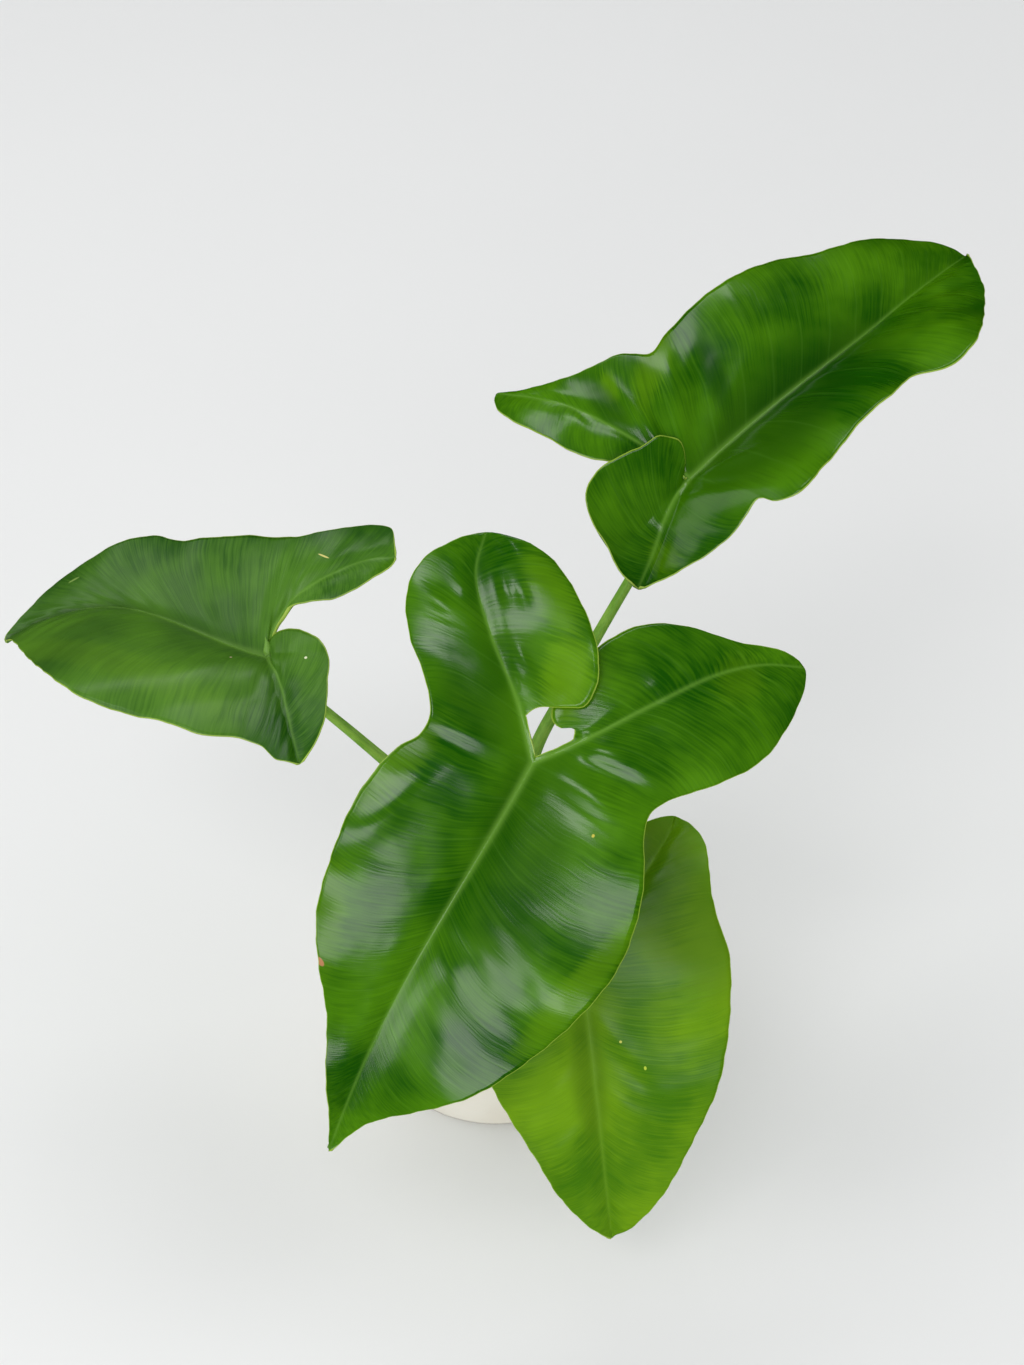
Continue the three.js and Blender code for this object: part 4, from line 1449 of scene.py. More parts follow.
@dataclass(frozen=True)
class CreamGlaze:
    """Cream glaze, with bare clay on the foot ring and a few dark iron specks."""

    cream: Colour = (242, 238, 226)
    shaded_cream: Colour = (236, 230, 216)
    iron_speck: Colour = (150, 128, 98)
    bare_clay: Colour = (208, 196, 176)

    def make(self) -> Material:
        """Makes the material.

        Returns:
            The material.
        """
        material, graph, surface = new_material("cream_glaze")
        where = graph.coordinates()
        height = graph.separate(where)[2]
        cloud = graph.ramp(graph.noise(where, 30.0, 5.0), 0.3, 0.7)
        colour = graph.mix(cloud, linear(self.cream), linear(self.shaded_cream))
        specks = graph.add("ShaderNodeTexVoronoi", {"Vector": where, "Scale": 420.0})
        chosen = graph.math("GREATER_THAN", graph.noise(where, 90.0), 0.63)
        speck = graph.product(graph.ramp(specks.outputs["Distance"], 0.16, 0.08), chosen)
        colour = graph.mix(graph.product(speck, 0.55), colour, linear(self.iron_speck))
        ragged = graph.math("MULTIPLY_ADD", graph.noise(where, 200.0), 0.0006, height)
        bare = graph.ramp(ragged, 0.0011, 0.0004)
        colour = graph.mix(bare, colour, linear(self.bare_clay))
        graph.feed(surface.inputs["Base Color"], colour)
        graph.feed(surface.inputs["Roughness"], graph.math("MULTIPLY_ADD", bare, 0.5, 0.24))
        graph.feed(surface.inputs["Coat Weight"], graph.math("MULTIPLY_ADD", bare, -0.5, 0.5))
        surface.inputs["Coat Roughness"].default_value = 0.08
        bumped(graph, surface, graph.noise(where, 260.0, 2.0), 0.00006)
        return material


@dataclass
class CoverPot:
    """The glazed outer pot, in millimetres."""

    height: float = 108
    foot_radius: float = 54
    rim_radius: float = 60
    wall: float = 4.5
    floor: float = 6
    foot_rounding: float = 4
    recess_radius: float = 44
    recess_depth: float = 1.2
    recess_slope: float = 1.5
    finish: CreamGlaze = CreamGlaze()

    def build(self, turned: NodeTool) -> Piece:
        """Turns the pot and glazes it.

        Args:
            turned: The tree that turns a profile.

        Returns:
            The pot.
        """
        taper = math.degrees(math.atan2(self.rim_radius - self.foot_radius, self.height))
        rim = self.wall / 2
        slope = (self.rim_radius - self.foot_radius) / self.height
        inner_foot = self.foot_radius + slope * self.floor - self.wall
        outside = (self.foot_radius - self.foot_rounding, self.foot_rounding)
        inside = (inner_foot - self.foot_rounding, self.floor + self.foot_rounding)
        profile = [
            (0, self.recess_depth),
            (self.recess_radius - self.recess_slope, self.recess_depth),
            (self.recess_radius, 0),
            *arc(outside, self.foot_rounding, -90, -taper, 10),
            *arc((self.rim_radius - rim, self.height - rim), rim, -taper, 180 - taper, 16),
            *arc(inside, self.foot_rounding, 0, -90, 8),
            (0, self.floor),
        ]
        piece = profile_piece("cover_pot_dressed", dense(profile, 4.0))
        turned.apply(piece, Sides=192, Wave_Height=0.0003, Wave_Scale=26.0, Material=self.finish.make())
        for vertex in piece.data.vertices:
            vertex.co.z = max(vertex.co.z, 0.0)
        return face_outward(piece)


@dataclass
class NurseryPot:
    """The thin black growing pot, in millimetres."""

    foot: float = 6.3
    top: float = 117
    foot_radius: float = 39
    top_radius: float = 52.4
    wall: float = 1.2
    floor: float = 1.5
    band_depth: float = 8
    band_radius: float = 54.2
    drain_holes: int = 6
    drain_radius: float = 4
    drain_circle: float = 26
    step_drop: float = 26
    step_width: float = 0.5
    step_height: float = 1.2
    edge: float = 0.6
    groove_level: float = 3
    groove_depth: float = 0.35
    lip_inset: float = 0.2
    lip_depth: float = 1.5

    def radius(self, height: float) -> float:
        """Returns the wall's outer radius at a height."""
        share = (height - self.foot) / (self.top - self.foot)
        return self.foot_radius + (self.top_radius - self.foot_radius) * share

    def build(self, turned: NodeTool, drilled: NodeTool, plastic: Material) -> Piece:
        """Turns the pot with its stepped band and drills its drain holes.

        Args:
            turned: The tree that turns a profile.
            drilled: The tree that cuts holes.
            plastic: The pot's material.

        Returns:
            The pot.
        """
        band = self.top - self.band_depth
        floor_top = self.foot + self.floor
        step = self.top - self.step_drop
        groove = band + self.groove_level
        profile = [
            (0, self.foot),
            (self.foot_radius, self.foot),
            (self.radius(step), step),
            (self.radius(step) + self.step_width, step + self.step_height),
            (self.radius(band), band),
            (self.band_radius - self.edge, band),
            (self.band_radius, groove),
            (self.band_radius - self.groove_depth, groove + self.edge),
            (self.band_radius, groove + 2 * self.edge),
            (self.band_radius, self.top - self.edge),
            (self.band_radius - self.edge, self.top),
            (self.top_radius - self.wall, self.top),
            (self.top_radius - self.wall - self.lip_inset, self.top - self.lip_depth),
            (self.radius(floor_top) - self.wall, floor_top),
            (0, floor_top),
        ]
        piece = profile_piece("nursery_pot_dressed", dense(rounded(profile, 0.4), 5.0))
        turned.apply(piece, Sides=144, Wave_Height=0.0002, Wave_Scale=18.0, Material=plastic)
        face_outward(piece)
        drilled.apply(
            piece,
            Holes=self.drain_holes,
            Hole_Radius=self.drain_radius * MM,
            Circle=self.drain_circle * MM,
            Level=(self.foot + self.floor / 2) * MM,
            Depth=4 * self.floor * MM,
        )
        return piece


def drilled_tool() -> NodeTool:
    """Builds the tree that cuts a ring of round holes through a floor.

    Returns:
        The tree, ready to be applied to a piece.
    """
    sizes = {"Hole Radius": 0.004, "Circle": 0.026, "Level": 0.007, "Depth": 0.006}
    tool = NodeTool("drilled", {"Holes": 6, **sizes})
    graph = tool.graph
    circle = {"Vertices": tool.given("Holes"), "Radius": tool.given("Circle")}
    ring = graph.add("GeometryNodeMeshCircle", circle).outputs[0]
    lift = graph.add("ShaderNodeCombineXYZ", {2: tool.given("Level")}).outputs[0]
    ring = graph.add("GeometryNodeSetPosition", {0: ring, "Offset": lift}).outputs[0]
    drill = {"Vertices": 40, "Radius": tool.given("Hole Radius"), "Depth": tool.given("Depth")}
    bit = graph.add("GeometryNodeMeshCylinder", drill).outputs[0]
    bits = graph.add("GeometryNodeInstanceOnPoints", {"Points": ring, "Instance": bit}).outputs[0]
    bits = graph.add("GeometryNodeRealizeInstances", {0: bits}).outputs[0]
    cut = graph.add("GeometryNodeMeshBoolean", operation="DIFFERENCE")
    tool.tree.links.new(tool.given("Geometry"), cut.inputs["Mesh 1"])
    tool.tree.links.new(bits, cut.inputs["Mesh 2"])
    tool.finish(cut.outputs[0])
    return tool


def scatter_tool() -> NodeTool:
    """Builds the tree that scatters rough crumbs over a surface, each bent its own way.

    Returns:
        The tree, ready to be applied to a piece.
    """
    sizes = {"Length": 0.006, "Width": 0.004, "Height": 0.002, "Roughness": 0.35, "Spacing": 0.004}
    limits = {"Inner Radius": 0.012, "Outer Radius": 0.044, "Sink": 0.0003, "Tilt": 0.5}
    tool = NodeTool("scattered", {**sizes, **limits, "Detail": 2, "Seed": 1, "Material": None})
    graph = tool.graph
    where = graph.add("GeometryNodeInputPosition").outputs[0]
    across, forth, _ = graph.separate(where)
    square = graph.math("ADD", graph.product(across, across), graph.product(forth, forth))
    from_axis = graph.math("SQRT", square)
    spread = {
        "Mesh": tool.given("Geometry"),
        "Distance Min": tool.given("Spacing"),
        "Density Max": 400000.0,
        "Seed": tool.given("Seed"),
    }
    node = graph.add("GeometryNodeDistributePointsOnFaces", spread, distribute_method="POISSON")
    inside = graph.math("LESS_THAN", from_axis, tool.given("Inner Radius"))
    outside = graph.math("GREATER_THAN", from_axis, tool.given("Outer Radius"))
    unwanted = graph.math("MAXIMUM", inside, outside)
    culling = {0: node.outputs["Points"], "Selection": unwanted}
    points = graph.add("GeometryNodeDeleteGeometry", culling).outputs[0]
    sides = graph.math("ADD", tool.given("Detail"), 1.0)
    corners = {"Size": (1.0, 1.0, 1.0), "Vertices X": sides, "Vertices Y": sides, "Vertices Z": sides}
    crumb = graph.add("GeometryNodeMeshCube", corners).outputs[0]
    place = graph.add("GeometryNodeInputPosition").outputs[0]
    ball = graph.scaled(graph.vector("NORMALIZE", place), 0.62)
    blend = graph.add("ShaderNodeMix", {0: 0.6, 4: place, 5: ball}, data_type="VECTOR").outputs[1]
    crumb = graph.add("GeometryNodeSetPosition", {0: crumb, "Position": blend}).outputs[0]
    tilt, seed = tool.given("Tilt"), tool.given("Seed")
    lean = graph.product(tilt, -1.0)
    turn = graph.add("ShaderNodeCombineXYZ", {
        0: graph.random(lean, tilt, graph.math("ADD", seed, 11)),
        1: graph.random(lean, tilt, graph.math("ADD", seed, 23)),
        2: graph.random(0.0, 2 * math.pi, graph.math("ADD", seed, 37)),
    }).outputs[0]
    size = graph.add("ShaderNodeCombineXYZ", {
        0: graph.product(tool.given("Length"), graph.random(0.5, 1.4, graph.math("ADD", seed, 41))),
        1: graph.product(tool.given("Width"), graph.random(0.5, 1.3, graph.math("ADD", seed, 53))),
        2: graph.product(tool.given("Height"), graph.random(0.6, 1.4, graph.math("ADD", seed, 67))),
    }).outputs[0]
    placing = {"Points": points, "Instance": crumb, "Rotation": turn, "Scale": size}
    crumbs = graph.add("GeometryNodeInstanceOnPoints", placing).outputs[0]
    tint = {0: crumbs, "Name": "tint", "Value": graph.random(0.0, 1.0, graph.math("ADD", seed, 71))}
    crumbs = graph.add("GeometryNodeStoreNamedAttribute", tint, domain="INSTANCE").outputs[0]
    crumbs = graph.add("GeometryNodeRealizeInstances", {0: crumbs}).outputs[0]
    rough = graph.add("ShaderNodeTexNoise", {"Vector": place, "Scale": 420.0, "Detail": 2.0}).outputs[1]
    jolt = graph.vector("SUBTRACT", rough, (0.5, 0.5, 0.5))
    amount = graph.product(tool.given("Roughness"), tool.given("Height"))
    jolt = graph.scaled(jolt, graph.product(amount, 4.0))
    drop = graph.add("ShaderNodeCombineXYZ", {2: graph.product(tool.given("Sink"), -1.0)}).outputs[0]
    offset = graph.vector("ADD", jolt, drop)
    crumbs = graph.add("GeometryNodeSetPosition", {0: crumbs, "Offset": offset}).outputs[0]
    tool.finish(tool.coated(crumbs))
    return tool


@dataclass(frozen=True)
class Crumbs:
    """One kind of loose material on the mix, in millimetres."""

    name: str
    size: tuple[float, float, float]
    spacing: float
    sink: float
    tilt: float
    seed: int
    outer_radius: float
    light: Colour
    dark: Colour
    roughness: float = 0.35

    def finish(self) -> Material:
        """Makes the crumbs' material, which differs from crumb to crumb.

        Returns:
            The material.
        """
        material, graph, surface = new_material(self.name)
        tint = graph.add("ShaderNodeAttribute", attribute_name="tint").outputs["Fac"]
        where = graph.coordinates()
        streaks = graph.noise(graph.vector("MULTIPLY", where, (1.0, 2.5, 4.0)), 420.0, 4.0)
        share = graph.math("ADD", graph.product(tint, 0.65), graph.product(streaks, 0.35))
        graph.feed(surface.inputs["Base Color"], graph.mix(share, linear(self.dark), linear(self.light)))
        graph.feed(surface.inputs["Roughness"], graph.math("MULTIPLY_ADD", streaks, 0.2, 0.75))
        bumped(graph, surface, streaks, 0.0003)
        return material


CRUMBS = (
    Crumbs(
        name="bark_chips", size=(7.5, 4.5, 1.8), spacing=4.6, sink=0.1, tilt=0.35, seed=5,
        outer_radius=46.0, light=(104, 74, 50), dark=(52, 35, 24), roughness=0.3,
    ),
    Crumbs(
        name="peat_crumbs", size=(2.6, 2.2, 1.7), spacing=1.7, sink=0.3, tilt=0.8, seed=9,
        outer_radius=49.0, light=(62, 44, 32), dark=(26, 18, 14), roughness=0.4,
    ),
    Crumbs(
        name="perlite_grains", size=(2.2, 1.9, 1.6), spacing=7.5, sink=-0.2, tilt=0.8, seed=14,
        outer_radius=48.0, light=(240, 238, 230), dark=(214, 210, 200), roughness=0.3,
    ),
    Crumbs(
        name="coir_fibres", size=(11.0, 0.32, 0.32), spacing=5.2, sink=-0.9, tilt=0.3, seed=21,
        outer_radius=43.0, light=(150, 112, 72), dark=(92, 64, 40), roughness=0.9,
    ),
)


@dataclass
class PottingMix:
    """The mix that fills the nursery pot, in millimetres."""

    RING_SPACING = 1.1
    BED_RINGS = 24
    BED_STEP = 7.5
    # Each lump's height, its waves along and forth in radians for each millimetre, and its phase.
    LUMPS = ((0.8, 0.61, 0.53, 0.9), (0.7, -0.5, 0.62, 2.1), (0.6, 0.35, 0.97, 0.0), (0.4, 1.3, -0.8, 1.6))

    pot: NurseryPot
    gap: float = 0.3
    rim_level: float = 107
    mound_height: float = 2.5
    hole_radius: float = 7.6
    hole_depth: float = 14
    bottom_edge: float = 0.4
    clear_radius: float = 12.5

    def top_radius(self) -> float:
        """Returns the radius of the mix where it meets the pot."""
        return self.pot.radius(self.rim_level) - self.pot.wall - self.gap

    def build(self, turned: NodeTool, soil: Material) -> Piece:
        """Turns the body and raises its top into a lumpy mound.

        Args:
            turned: The tree that turns a profile.
            soil: The mix's material.

        Returns:
            The body of the mix.
        """
        bottom = self.pot.foot + self.pot.floor + self.gap
        foot = self.pot.radius(bottom) - self.pot.wall - self.gap - self.bottom_edge
        radii = np.arange(self.top_radius(), self.hole_radius, -self.RING_SPACING)
        rings = [(radius, self.rim_level) for radius in radii]
        hole = self.rim_level - self.hole_depth
        profile = [
            (0, bottom),
            (foot, bottom),
            *rings,
            (self.hole_radius, self.rim_level),
            (self.hole_radius, hole),
            (0, hole),
        ]
        piece = profile_piece("potting_mix_dressed", profile)
        turned.apply(piece, Sides=180, Wave_Height=0.0, Wave_Scale=20.0, Material=soil)
        face_outward(piece)
        for vertex in piece.data.vertices:
            if abs(vertex.co.z - self.rim_level * MM) < SAME_PLACE:
                vertex.co.z = self.level(vertex.co.x / MM, vertex.co.y / MM) * MM
        return piece

    def level(self, x: float, y: float) -> float:
        """Returns the top's height at a place.

        Args:
            x: Millimetres from the pot's axis along X.
            y: Millimetres from the pot's axis along Y.

        Returns:
            The height in millimetres.
        """
        edge = min(1.0, math.hypot(x, y) / self.top_radius())
        lumps = sum(h * math.sin(along * x + forth * y + phase) for h, along, forth, phase in self.LUMPS)
        grit = 0.5 * math.sin(2.9 * x + 1.7 * y) * math.sin(2.3 * y - 1.9 * x + 0.7)
        return self.rim_level + self.mound_height * (1 - edge**2) + (lumps + grit) * (1 - edge**6)

    def scatter(self, crumbs: Crumbs, tool: NodeTool) -> Piece:
        """Strews one kind of crumb over the top.

        Args:
            crumbs: The kind of crumb.
            tool: The tree that scatters crumbs.

        Returns:
            All crumbs of that kind as one object.
        """
        reach = np.linspace(0, self.top_radius() - 0.5, self.BED_RINGS)
        turns = np.radians(np.arange(0, 360, self.BED_STEP))
        points = [(r * math.cos(a), r * math.sin(a)) for r in reach for a in turns]
        count = len(turns)
        faces = []
        for i, j in np.ndindex(len(reach) - 1, count):
            near, far, following = i * count, (i + 1) * count, (j + 1) % count
            faces.append((near + j, near + following, far + following, far + j))
        heights = [(x * MM, y * MM, self.level(x, y) * MM) for x, y in points]
        piece = new_piece(f"{crumbs.name}_loose", heights, faces)
        length, width, height = (size * MM for size in crumbs.size)
        tool.apply(
            piece,
            Length=length,
            Width=width,
            Height=height,
            Roughness=crumbs.roughness,
            Spacing=crumbs.spacing * MM,
            Inner_Radius=self.clear_radius * MM,
            Outer_Radius=crumbs.outer_radius * MM,
            Sink=crumbs.sink * MM,
            Tilt=crumbs.tilt,
            Detail=2,
            Seed=crumbs.seed,
            Material=crumbs.finish(),
        )
        return piece


@dataclass(frozen=True)
class StemSkin:
    """The stem's skin: brown and dry below, green above, and pale at the tip."""

    dry: Colour = (112, 88, 56)
    green: Colour = (118, 138, 52)
    tip: Colour = (158, 190, 84)
    stripe: Colour = (74, 84, 30)

    def make(self) -> Material:
        """Makes the material.

        Returns:
            The material.
        """
        material, graph, surface = new_material("stem_skin")
        where = graph.coordinates()
        height = graph.separate(where)[2]
        patches = graph.noise(where, 260.0, 4.0)
        level = graph.math("MULTIPLY_ADD", patches, 0.008, height)
        colour = graph.mix(graph.ramp(level, 0.114, 0.122), linear(self.dry), linear(self.green))
        colour = graph.mix(graph.ramp(height, 0.128, 0.146), colour, linear(self.tip))
        stripes = graph.noise(graph.vector("MULTIPLY", where, (6.0, 6.0, 0.6)), 220.0, 3.0)
        colour = graph.mix(graph.product(stripes, 0.3), colour, linear(self.stripe))
        graph.feed(surface.inputs["Base Color"], colour)
        graph.feed(surface.inputs["Roughness"], graph.math("MULTIPLY_ADD", patches, 0.2, 0.4))
        bumped(graph, surface, stripes, 0.0002)
        return material


@dataclass
class Stem:
    """The short crown with its growing tip, in millimetres above its foot."""

    foot: float = 93.3
    outline: tuple[Point, ...] = (
        (0, 0), (5.6, 0), (6.6, 3), (6.6, 20), (5.6, 27), (3.6, 33), (2.6, 35), (2.6, 42),
        (1.6, 48), (0, 54),
    )
    scar_height: float = 0.22
    scar_spacing: float = 3.4
    scars_from: float = 1
    scars_to: float = 34
    finish: StemSkin = StemSkin()

    def build(self, turned: NodeTool) -> Piece:
        """Turns the stem with a ring for each leaf scar.

        Args:
            turned: The tree that turns a profile.

        Returns:
            The stem with its growing tip.
        """
        profile = []
        for radius, height in dense(rounded(self.outline, 1.6, 4), 0.5):
            ring = max(0.0, math.cos(2 * math.pi * height / self.scar_spacing)) ** 8
            scarred = self.scars_from < height < self.scars_to
            shrink = self.scar_height * (1 - ring) if scarred else 0.0
            profile.append((max(0.0, radius - shrink), self.foot + height))
        piece = profile_piece("stem_dressed", profile)
        turned.apply(piece, Sides=64, Wave_Height=0.0004, Wave_Scale=190.0, Material=self.finish.make())
        return face_outward(piece)


@dataclass(frozen=True)
class StalkSkin:
    """The stalks' smooth green skin, paler and browner at the foot, with fine lengthwise lines."""

    greens: tuple[Colour, Colour] = ((114, 168, 50), (146, 192, 74))
    foot: Colour = (170, 176, 104)
    edge: Colour = (160, 196, 66)
    speck: Colour = (70, 104, 30)

    def make(self) -> Material:
        """Makes the material.

        Returns:
            The material.
        """
        material, graph, surface = new_material("stalk_skin")
        where = graph.coordinates()
        share = graph.add("ShaderNodeAttribute", attribute_name="share").outputs["Fac"]
        rise = graph.add("ShaderNodeAttribute", attribute_name="rise").outputs["Fac"]
        patches = graph.noise(where, 120.0, 4.0)
        dark, light = (linear(green) for green in self.greens)
        colour = graph.mix(graph.ramp(patches, 0.3, 0.7), dark, light)
        colour = graph.mix(graph.ramp(share, 0.1, 0.0), colour, linear(self.foot))
        edge = graph.bell(graph.math("SUBTRACT", rise, 0.35), 0.12)
        colour = graph.mix(graph.product(edge, 0.4), colour, linear(self.edge))
        specks = graph.add("ShaderNodeTexVoronoi", {"Vector": where, "Scale": 900.0}).outputs["Distance"]
        speck = graph.product(graph.ramp(specks, 0.2, 0.1), 0.35)
        colour = graph.mix(speck, colour, linear(self.speck))
        graph.feed(surface.inputs["Base Color"], colour)
        graph.feed(surface.inputs["Roughness"], graph.math("MULTIPLY_ADD", patches, 0.15, 0.25))
        lines = graph.math("PINGPONG", graph.product(rise, 9.0), 0.5)
        bumped(graph, surface, graph.math("ADD", lines, patches), 0.00008)
        return material


@dataclass
class Stalks:
    """How a stalk runs from the stem to its leaf, in millimetres."""

    PATH_POINTS = 90

    stem_radius: float = 6.6
    gap: float = 0.3
    base_radius: float = 3.6
    top_radius: float = 1.9
    channel_depth: float = 0.35
    base_level: float = 112
    clasp_length: float = 7
    seat_depth: float = 3.2
    finish: StalkSkin = StalkSkin()

    def build(self, leaf: Leaf, swept: NodeTool, skin: Material) -> Piece:
        """Sweeps the stalk of one leaf.

        Args:
            leaf: The leaf that it belongs to.
            swept: The tree that sweeps a stalk.
            skin: The stalk's material.

        Returns:
            The stalk.
        """
        turn = math.radians(leaf.stalk_base)
        reach = self.stem_radius + self.gap + self.base_radius * (1 - self.channel_depth)
        base = np.array([reach * math.cos(turn), reach * math.sin(turn), self.base_level])
        seat = np.asarray(leaf.junction) - leaf.axes()[2] * self.seat_depth
        leaving = base + (0, 0, self.clasp_length)
        route = SmoothCurve([base, leaving, *leaf.stalk_route, seat])
        share = np.linspace(0, 1, self.PATH_POINTS)
        low = np.array([-base[1], base[0], 0.0]) / math.hypot(base[0], base[1])
        top = np.array([-seat[1], seat[0], 0.0]) / math.hypot(seat[0], seat[1])
        levels = low + (top - low) * share[:, None]
        runs = [(i, i + 1) for i in range(self.PATH_POINTS - 1)]
        piece = new_piece(f"stalk_{leaf.name}_dressed", route.at(share) * MM, [], runs)
        store(piece.data, "level", levels)
        swept.apply(
            piece,
            Base_Radius=self.base_radius * MM,
            Top_Radius=self.top_radius * MM,
            Channel_Depth=self.channel_depth,
            Material=skin,
        )
        return face_outward(piece)


LEAF_FINISHES = {
    Growth.GROWN: LeafFinish(
        deep=(20, 74, 0),
        fresh=(74, 128, 1),
        vein=(96, 150, 48),
        rib=(112, 160, 56),
        margin=(156, 186, 66),
        under=(92, 130, 62),
        roughness=0.18,
    ),
    Growth.YOUNG: LeafFinish(
        deep=(62, 114, 1),
        fresh=(112, 156, 2),
        vein=(112, 164, 40),
        rib=(112, 156, 36),
        margin=(158, 190, 66),
        under=(126, 160, 74),
        roughness=0.22,
        ior=1.3,
    ),
}
# Painted sheen and painted glow of light through the blade: soft yellow-green patches where the leaves catch
# the light.
PAINTED_SHEEN: Colour = (110, 158, 4)
# Painted sheen: a pale grey-green veil laid across most of the left leaf.
PAINTED_VEIL: Colour = (100, 140, 56)
SHADE: Colour = (16, 62, 2)
TAN: Colour = (176, 124, 84)
PALE: Colour = (214, 220, 180)
# Each mark's place along and across, half lengths, turn, colour, softness and strength.
# The soft marks in the sheen, veil and shade colours are painted sheen and painted shade; the small sharp
# ones are blemishes.
MARKS: dict[str, tuple[Mark, ...]] = {
    "front": (
        Mark(-31, -3, 12, 7, 20, PAINTED_SHEEN, BLURRED, 0.47),
        Mark(-55, -22, 14, 6, 60, PAINTED_SHEEN, BLURRED, 0.28),
        Mark(20, -42, 20, 7, -20, PAINTED_SHEEN, BLURRED, 0.22),
        Mark(78, -38, 18, 5, 20, PAINTED_SHEEN, BLURRED, 0.22),
        Mark(60, 50, 34, 5, -14, PAINTED_SHEEN, BLURRED, 0.28),
        Mark(-58, 50, 8, 8, 0, PAINTED_SHEEN, BLURRED, 0.19),
        Mark(30, 12, 34, 13, 12, SHADE, BLURRED, 0.45),
        Mark(-38, -34, 20, 9, 50, SHADE, BLURRED, 0.30),
        Mark(-13, -29, 17, 9, 50, SHADE, BLURRED, 0.50),
        Mark(94, -33.2, 2.0, 1.0, 60, TAN),
        Mark(22, 44, 2.2, 2.0, 0, (44, 98, 6), 0.3, 0.6),
        Mark(11, 30, 0.6, 0.5, 0, (190, 180, 60)),
    ),
    "left": (
        Mark(62, 2, 78, 44, 0, PAINTED_VEIL, BLURRED, 0.28),
        Mark(-12, -40, 2.2, 0.35, -8, (206, 196, 110)),
        Mark(-19, 2, 0.6, 0.5, 0, PALE),
        Mark(9, 8, 0.45, 0.4, 0, (190, 170, 140)),
        Mark(99, -27, 2.6, 0.5, 20, (140, 168, 84), 0.5, 0.7),
        Mark(60, 24, 44, 7, -8, PAINTED_SHEEN, BLURRED, 0.17),
    ),
    "low": (
        Mark(20, 40, 26, 6, -8, PAINTED_SHEEN, BLURRED, 0.33),
        Mark(60, -18, 24, 8, 10, PAINTED_SHEEN, BLURRED, 0.39),
        Mark(35, 11, 0.5, 0.5, 0, (200, 200, 90)),
        Mark(46, 19, 0.8, 0.5, 0, (176, 196, 60)),
        Mark(-14, 36, 28, 15, 20, SHADE, BLURRED, 0.42),
        Mark(48, -2, 22, 5, 0, SHADE, BLURRED, 0.30),
    ),
    "back": (
        Mark(24, 40, 18, 5, 30, PAINTED_SHEEN, BLURRED, 0.33),
        Mark(4, 44, 6, 3, 60, PAINTED_SHEEN, BLURRED, 0.33),
        Mark(44, -10, 46, 18, 4, SHADE, BLURRED, 0.70),
        Mark(36, 20, 14, 4, 60, SHADE, BLURRED, 0.60),
        Mark(-2, 40, 12, 4, 80, SHADE, BLURRED, 0.50),
        Mark(-30, -14, 8, 5, 60, PAINTED_SHEEN, BLURRED, 0.22),
    ),
}


@dataclass(frozen=True)
class Window:
    """A soft rectangular light. Its turn is measured from +Y towards +X, and its radiance is even."""

    TARGET = (0.0, -0.06, 0.2)

    name: str
    turn: float
    rise: float
    distance: float
    size: Point
    radiance: float

    def build(self) -> None:
        """Adds the light, turned towards the plant."""
        turn, rise = math.radians(self.turn), math.radians(self.rise)
        way = Vector((math.sin(turn) * math.cos(rise), math.cos(turn) * math.cos(rise), math.sin(rise)))
        data = bpy.data.lights.new(self.name, "AREA")
        data.shape = "RECTANGLE"
        data.size, data.size_y = self.size
        data.energy = self.radiance * math.pi * self.size[0] * self.size[1]
        lamp = bpy.data.objects.new(self.name, data)
        lamp.location = Vector(self.TARGET) + way * self.distance
        lamp.rotation_euler = way.to_track_quat("Z", "Y").to_euler()
        bpy.context.scene.collection.objects.link(lamp)


# Each window's turn, rise, distance, width and height, and radiance.
WINDOWS = (
    Window("window_front", -168.0, 20.5, 2.4, (1.5, 0.8), 4.1),
    Window("window_front_left", -126.0, 14.0, 2.4, (0.9, 0.5), 3.6),
    Window("window_high", -156.0, 56.0, 2.2, (0.7, 0.45), 5.6),
    Window("window_left", -70.0, 36.0, 2.2, (1.1, 0.8), 1.2),
    Window("window_top", -12.0, 66.0, 2.2, (1.1, 0.5), 3.6),
)


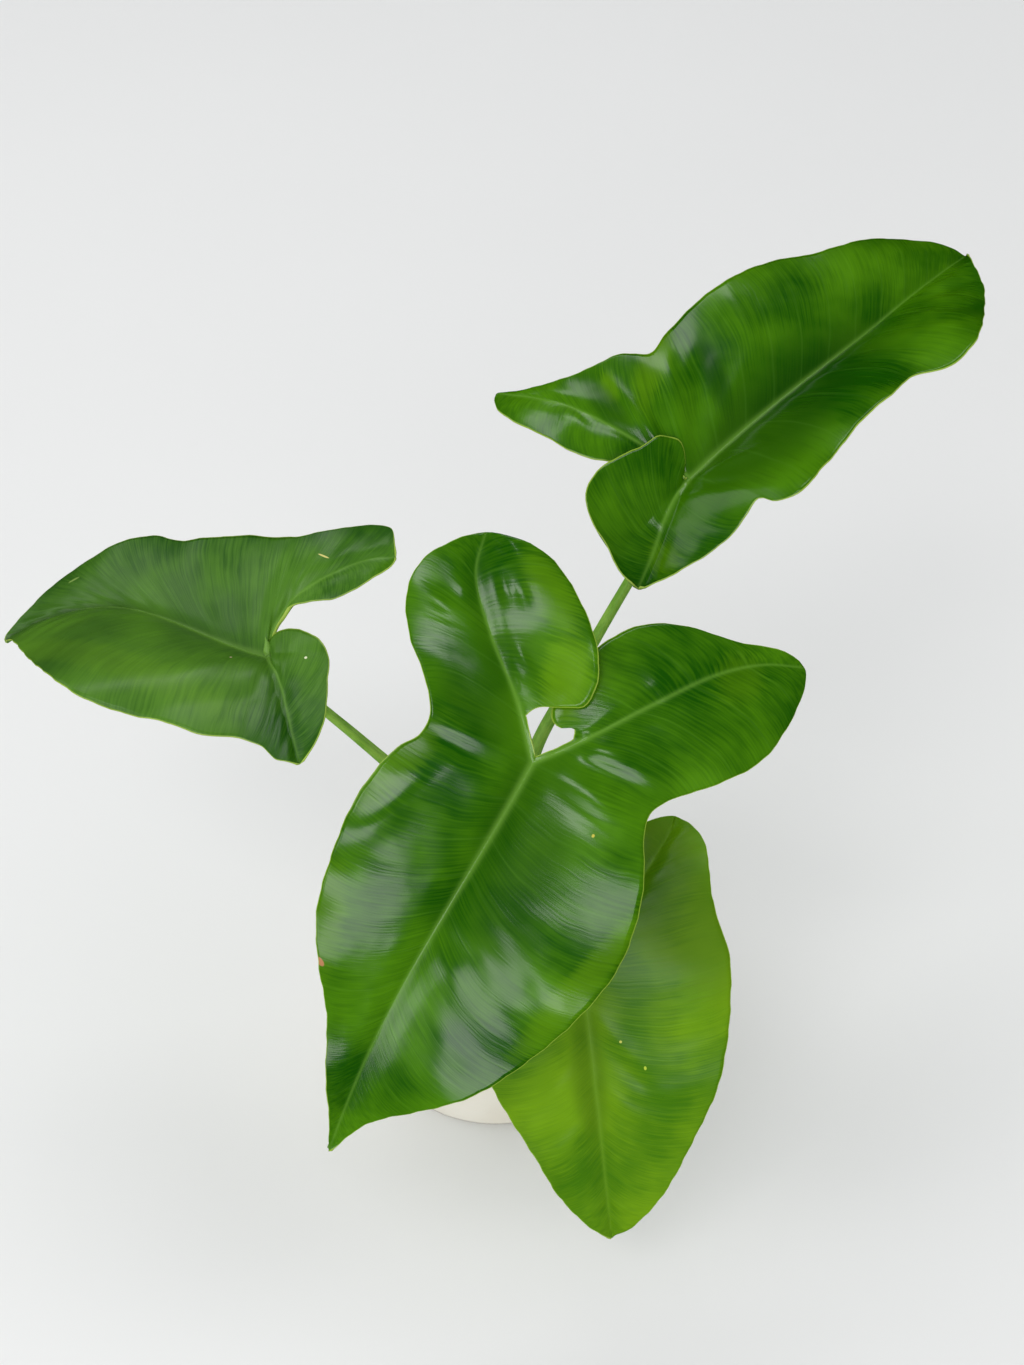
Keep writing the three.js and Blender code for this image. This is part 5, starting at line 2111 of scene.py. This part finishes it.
@dataclass
class Stage:
    """The pale sweep, the soft daylight and the camera, in metres and degrees."""

    PAPER = ((233, 233, 232), (236, 236, 235))
    DAYLIGHT = (0.97, 0.985, 1.0, 1.0)

    camera_place: Place = (0.007, -0.583, 0.735)
    pitch: float = 42.0
    focal_pixels: float = 2050
    picture_height: float = 1365
    sensor: float = 36.0
    fill: float = 0.74
    floor_depth: float = 2.2
    floor_bend: float = 0.8
    floor_half_width: float = 4.5
    floor_front: float = 4.0
    backdrop_height: float = 2.4

    def build(self) -> None:
        """Sets up everything that isn't the object."""
        self._floor()
        self._lights()
        self._camera()

    def _floor(self) -> None:
        """Makes a floor that curves up into a backdrop far behind."""
        depth, bend, width = self.floor_depth, self.floor_bend, self.floor_half_width
        angles = np.linspace(0, math.pi / 2, 24)
        curve = [(depth + bend * math.sin(a), bend - bend * math.cos(a)) for a in angles]
        line = [(-self.floor_front, 0.0), (0.0, 0.0), *curve, (depth + bend, self.backdrop_height)]
        points = [(side, y, z) for y, z in line for side in (-width, width)]
        faces = [(2 * i, 2 * i + 1, 2 * i + 3, 2 * i + 2) for i in range(len(line) - 1)]
        sweep = new_piece("pale_sweep", points, faces)
        smooth_shaded(sweep.data)
        material, graph, surface = new_material("pale_paper")
        where = graph.coordinates()
        tone = graph.mix(graph.noise(where, 3.0), *(linear(grey) for grey in self.PAPER))
        graph.feed(surface.inputs["Base Color"], tone)
        surface.inputs["Roughness"].default_value = 0.9
        surface.inputs["Specular IOR Level"].default_value = 0.2
        sweep.data.materials.append(material)
        sweep.visible_glossy = False

    def _lights(self) -> None:
        """Places the windows that the leaves mirror, and an even fill that they don't."""
        scene = bpy.context.scene
        scene.view_settings.view_transform = "Standard"
        for window in WINDOWS:
            window.build()
        world = bpy.data.worlds.new("even_fill")
        scene.world = world
        world.use_nodes = True
        world.cycles_visibility.glossy = False
        background = world.node_tree.nodes["Background"]
        background.inputs["Color"].default_value = self.DAYLIGHT
        background.inputs["Strength"].default_value = self.fill

    def _camera(self) -> None:
        """Places the camera at the photograph's angle."""
        data = bpy.data.cameras.new("camera")
        data.sensor_width = self.sensor
        data.lens = self.focal_pixels * self.sensor / self.picture_height
        camera = bpy.data.objects.new("camera", data)
        camera.location = self.camera_place
        camera.rotation_euler = (math.radians(90 - self.pitch), 0.0, 0.0)
        bpy.context.scene.collection.objects.link(camera)
        bpy.context.scene.camera = camera


@dataclass
class Plant:
    """The plant's leaves and stalks."""

    leaves: tuple[Leaf, ...] = LEAVES
    stalks: Stalks = field(default_factory=Stalks)

    def build(self, swept: NodeTool) -> None:
        """Makes each leaf's blade and stalk.

        Args:
            swept: The tree that sweeps a stalk.
        """
        relief = relief_tool()
        pattern = leaf_pattern()
        skin = self.stalks.finish.make()
        for leaf in self.leaves:
            finish = LEAF_FINISHES[leaf.growth]
            sheet = LeafSheet(leaf).build()
            relief.apply(
                sheet,
                Pleat_Height=leaf.pleat_height * MM,
                Blister_Height=leaf.blister_height * MM,
                Upper=finish.upper(leaf, pattern, MARKS[leaf.name]),
                Under=finish.lower(f"blade_{leaf.name}", pattern),
            )
            settle(face_outward(sheet), leaf.growth.value, f"blade_{leaf.name}")
            settle(self.stalks.build(leaf, swept, skin), "stalk", f"stalk_{leaf.name}")


def main() -> None:
    """Builds every piece and dresses the frame."""
    logging.basicConfig(level=logging.INFO, format="%(name)s: %(message)s")
    Stage().build()
    turned, swept, drilled, scattered = turned_tool(), swept_tool(), drilled_tool(), scatter_tool()
    settle(CoverPot().build(turned), "cover_pot", "cover_pot")
    plastic = BLACK_PLASTIC.make("black_plastic")
    nursery = NurseryPot()
    settle(nursery.build(turned, drilled, plastic), "nursery_pot", "nursery_pot")
    soil = DARK_PEAT.make("dark_peat")
    mix = PottingMix(nursery)
    settle(mix.build(turned, soil), "potting_mix", "potting_mix")
    for crumbs in CRUMBS:
        settle(mix.scatter(crumbs, scattered), "potting_mix")
    settle(Stem().build(turned), "stem", "stem")
    Plant().build(swept)
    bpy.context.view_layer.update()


if __name__ == "__main__":
    main()
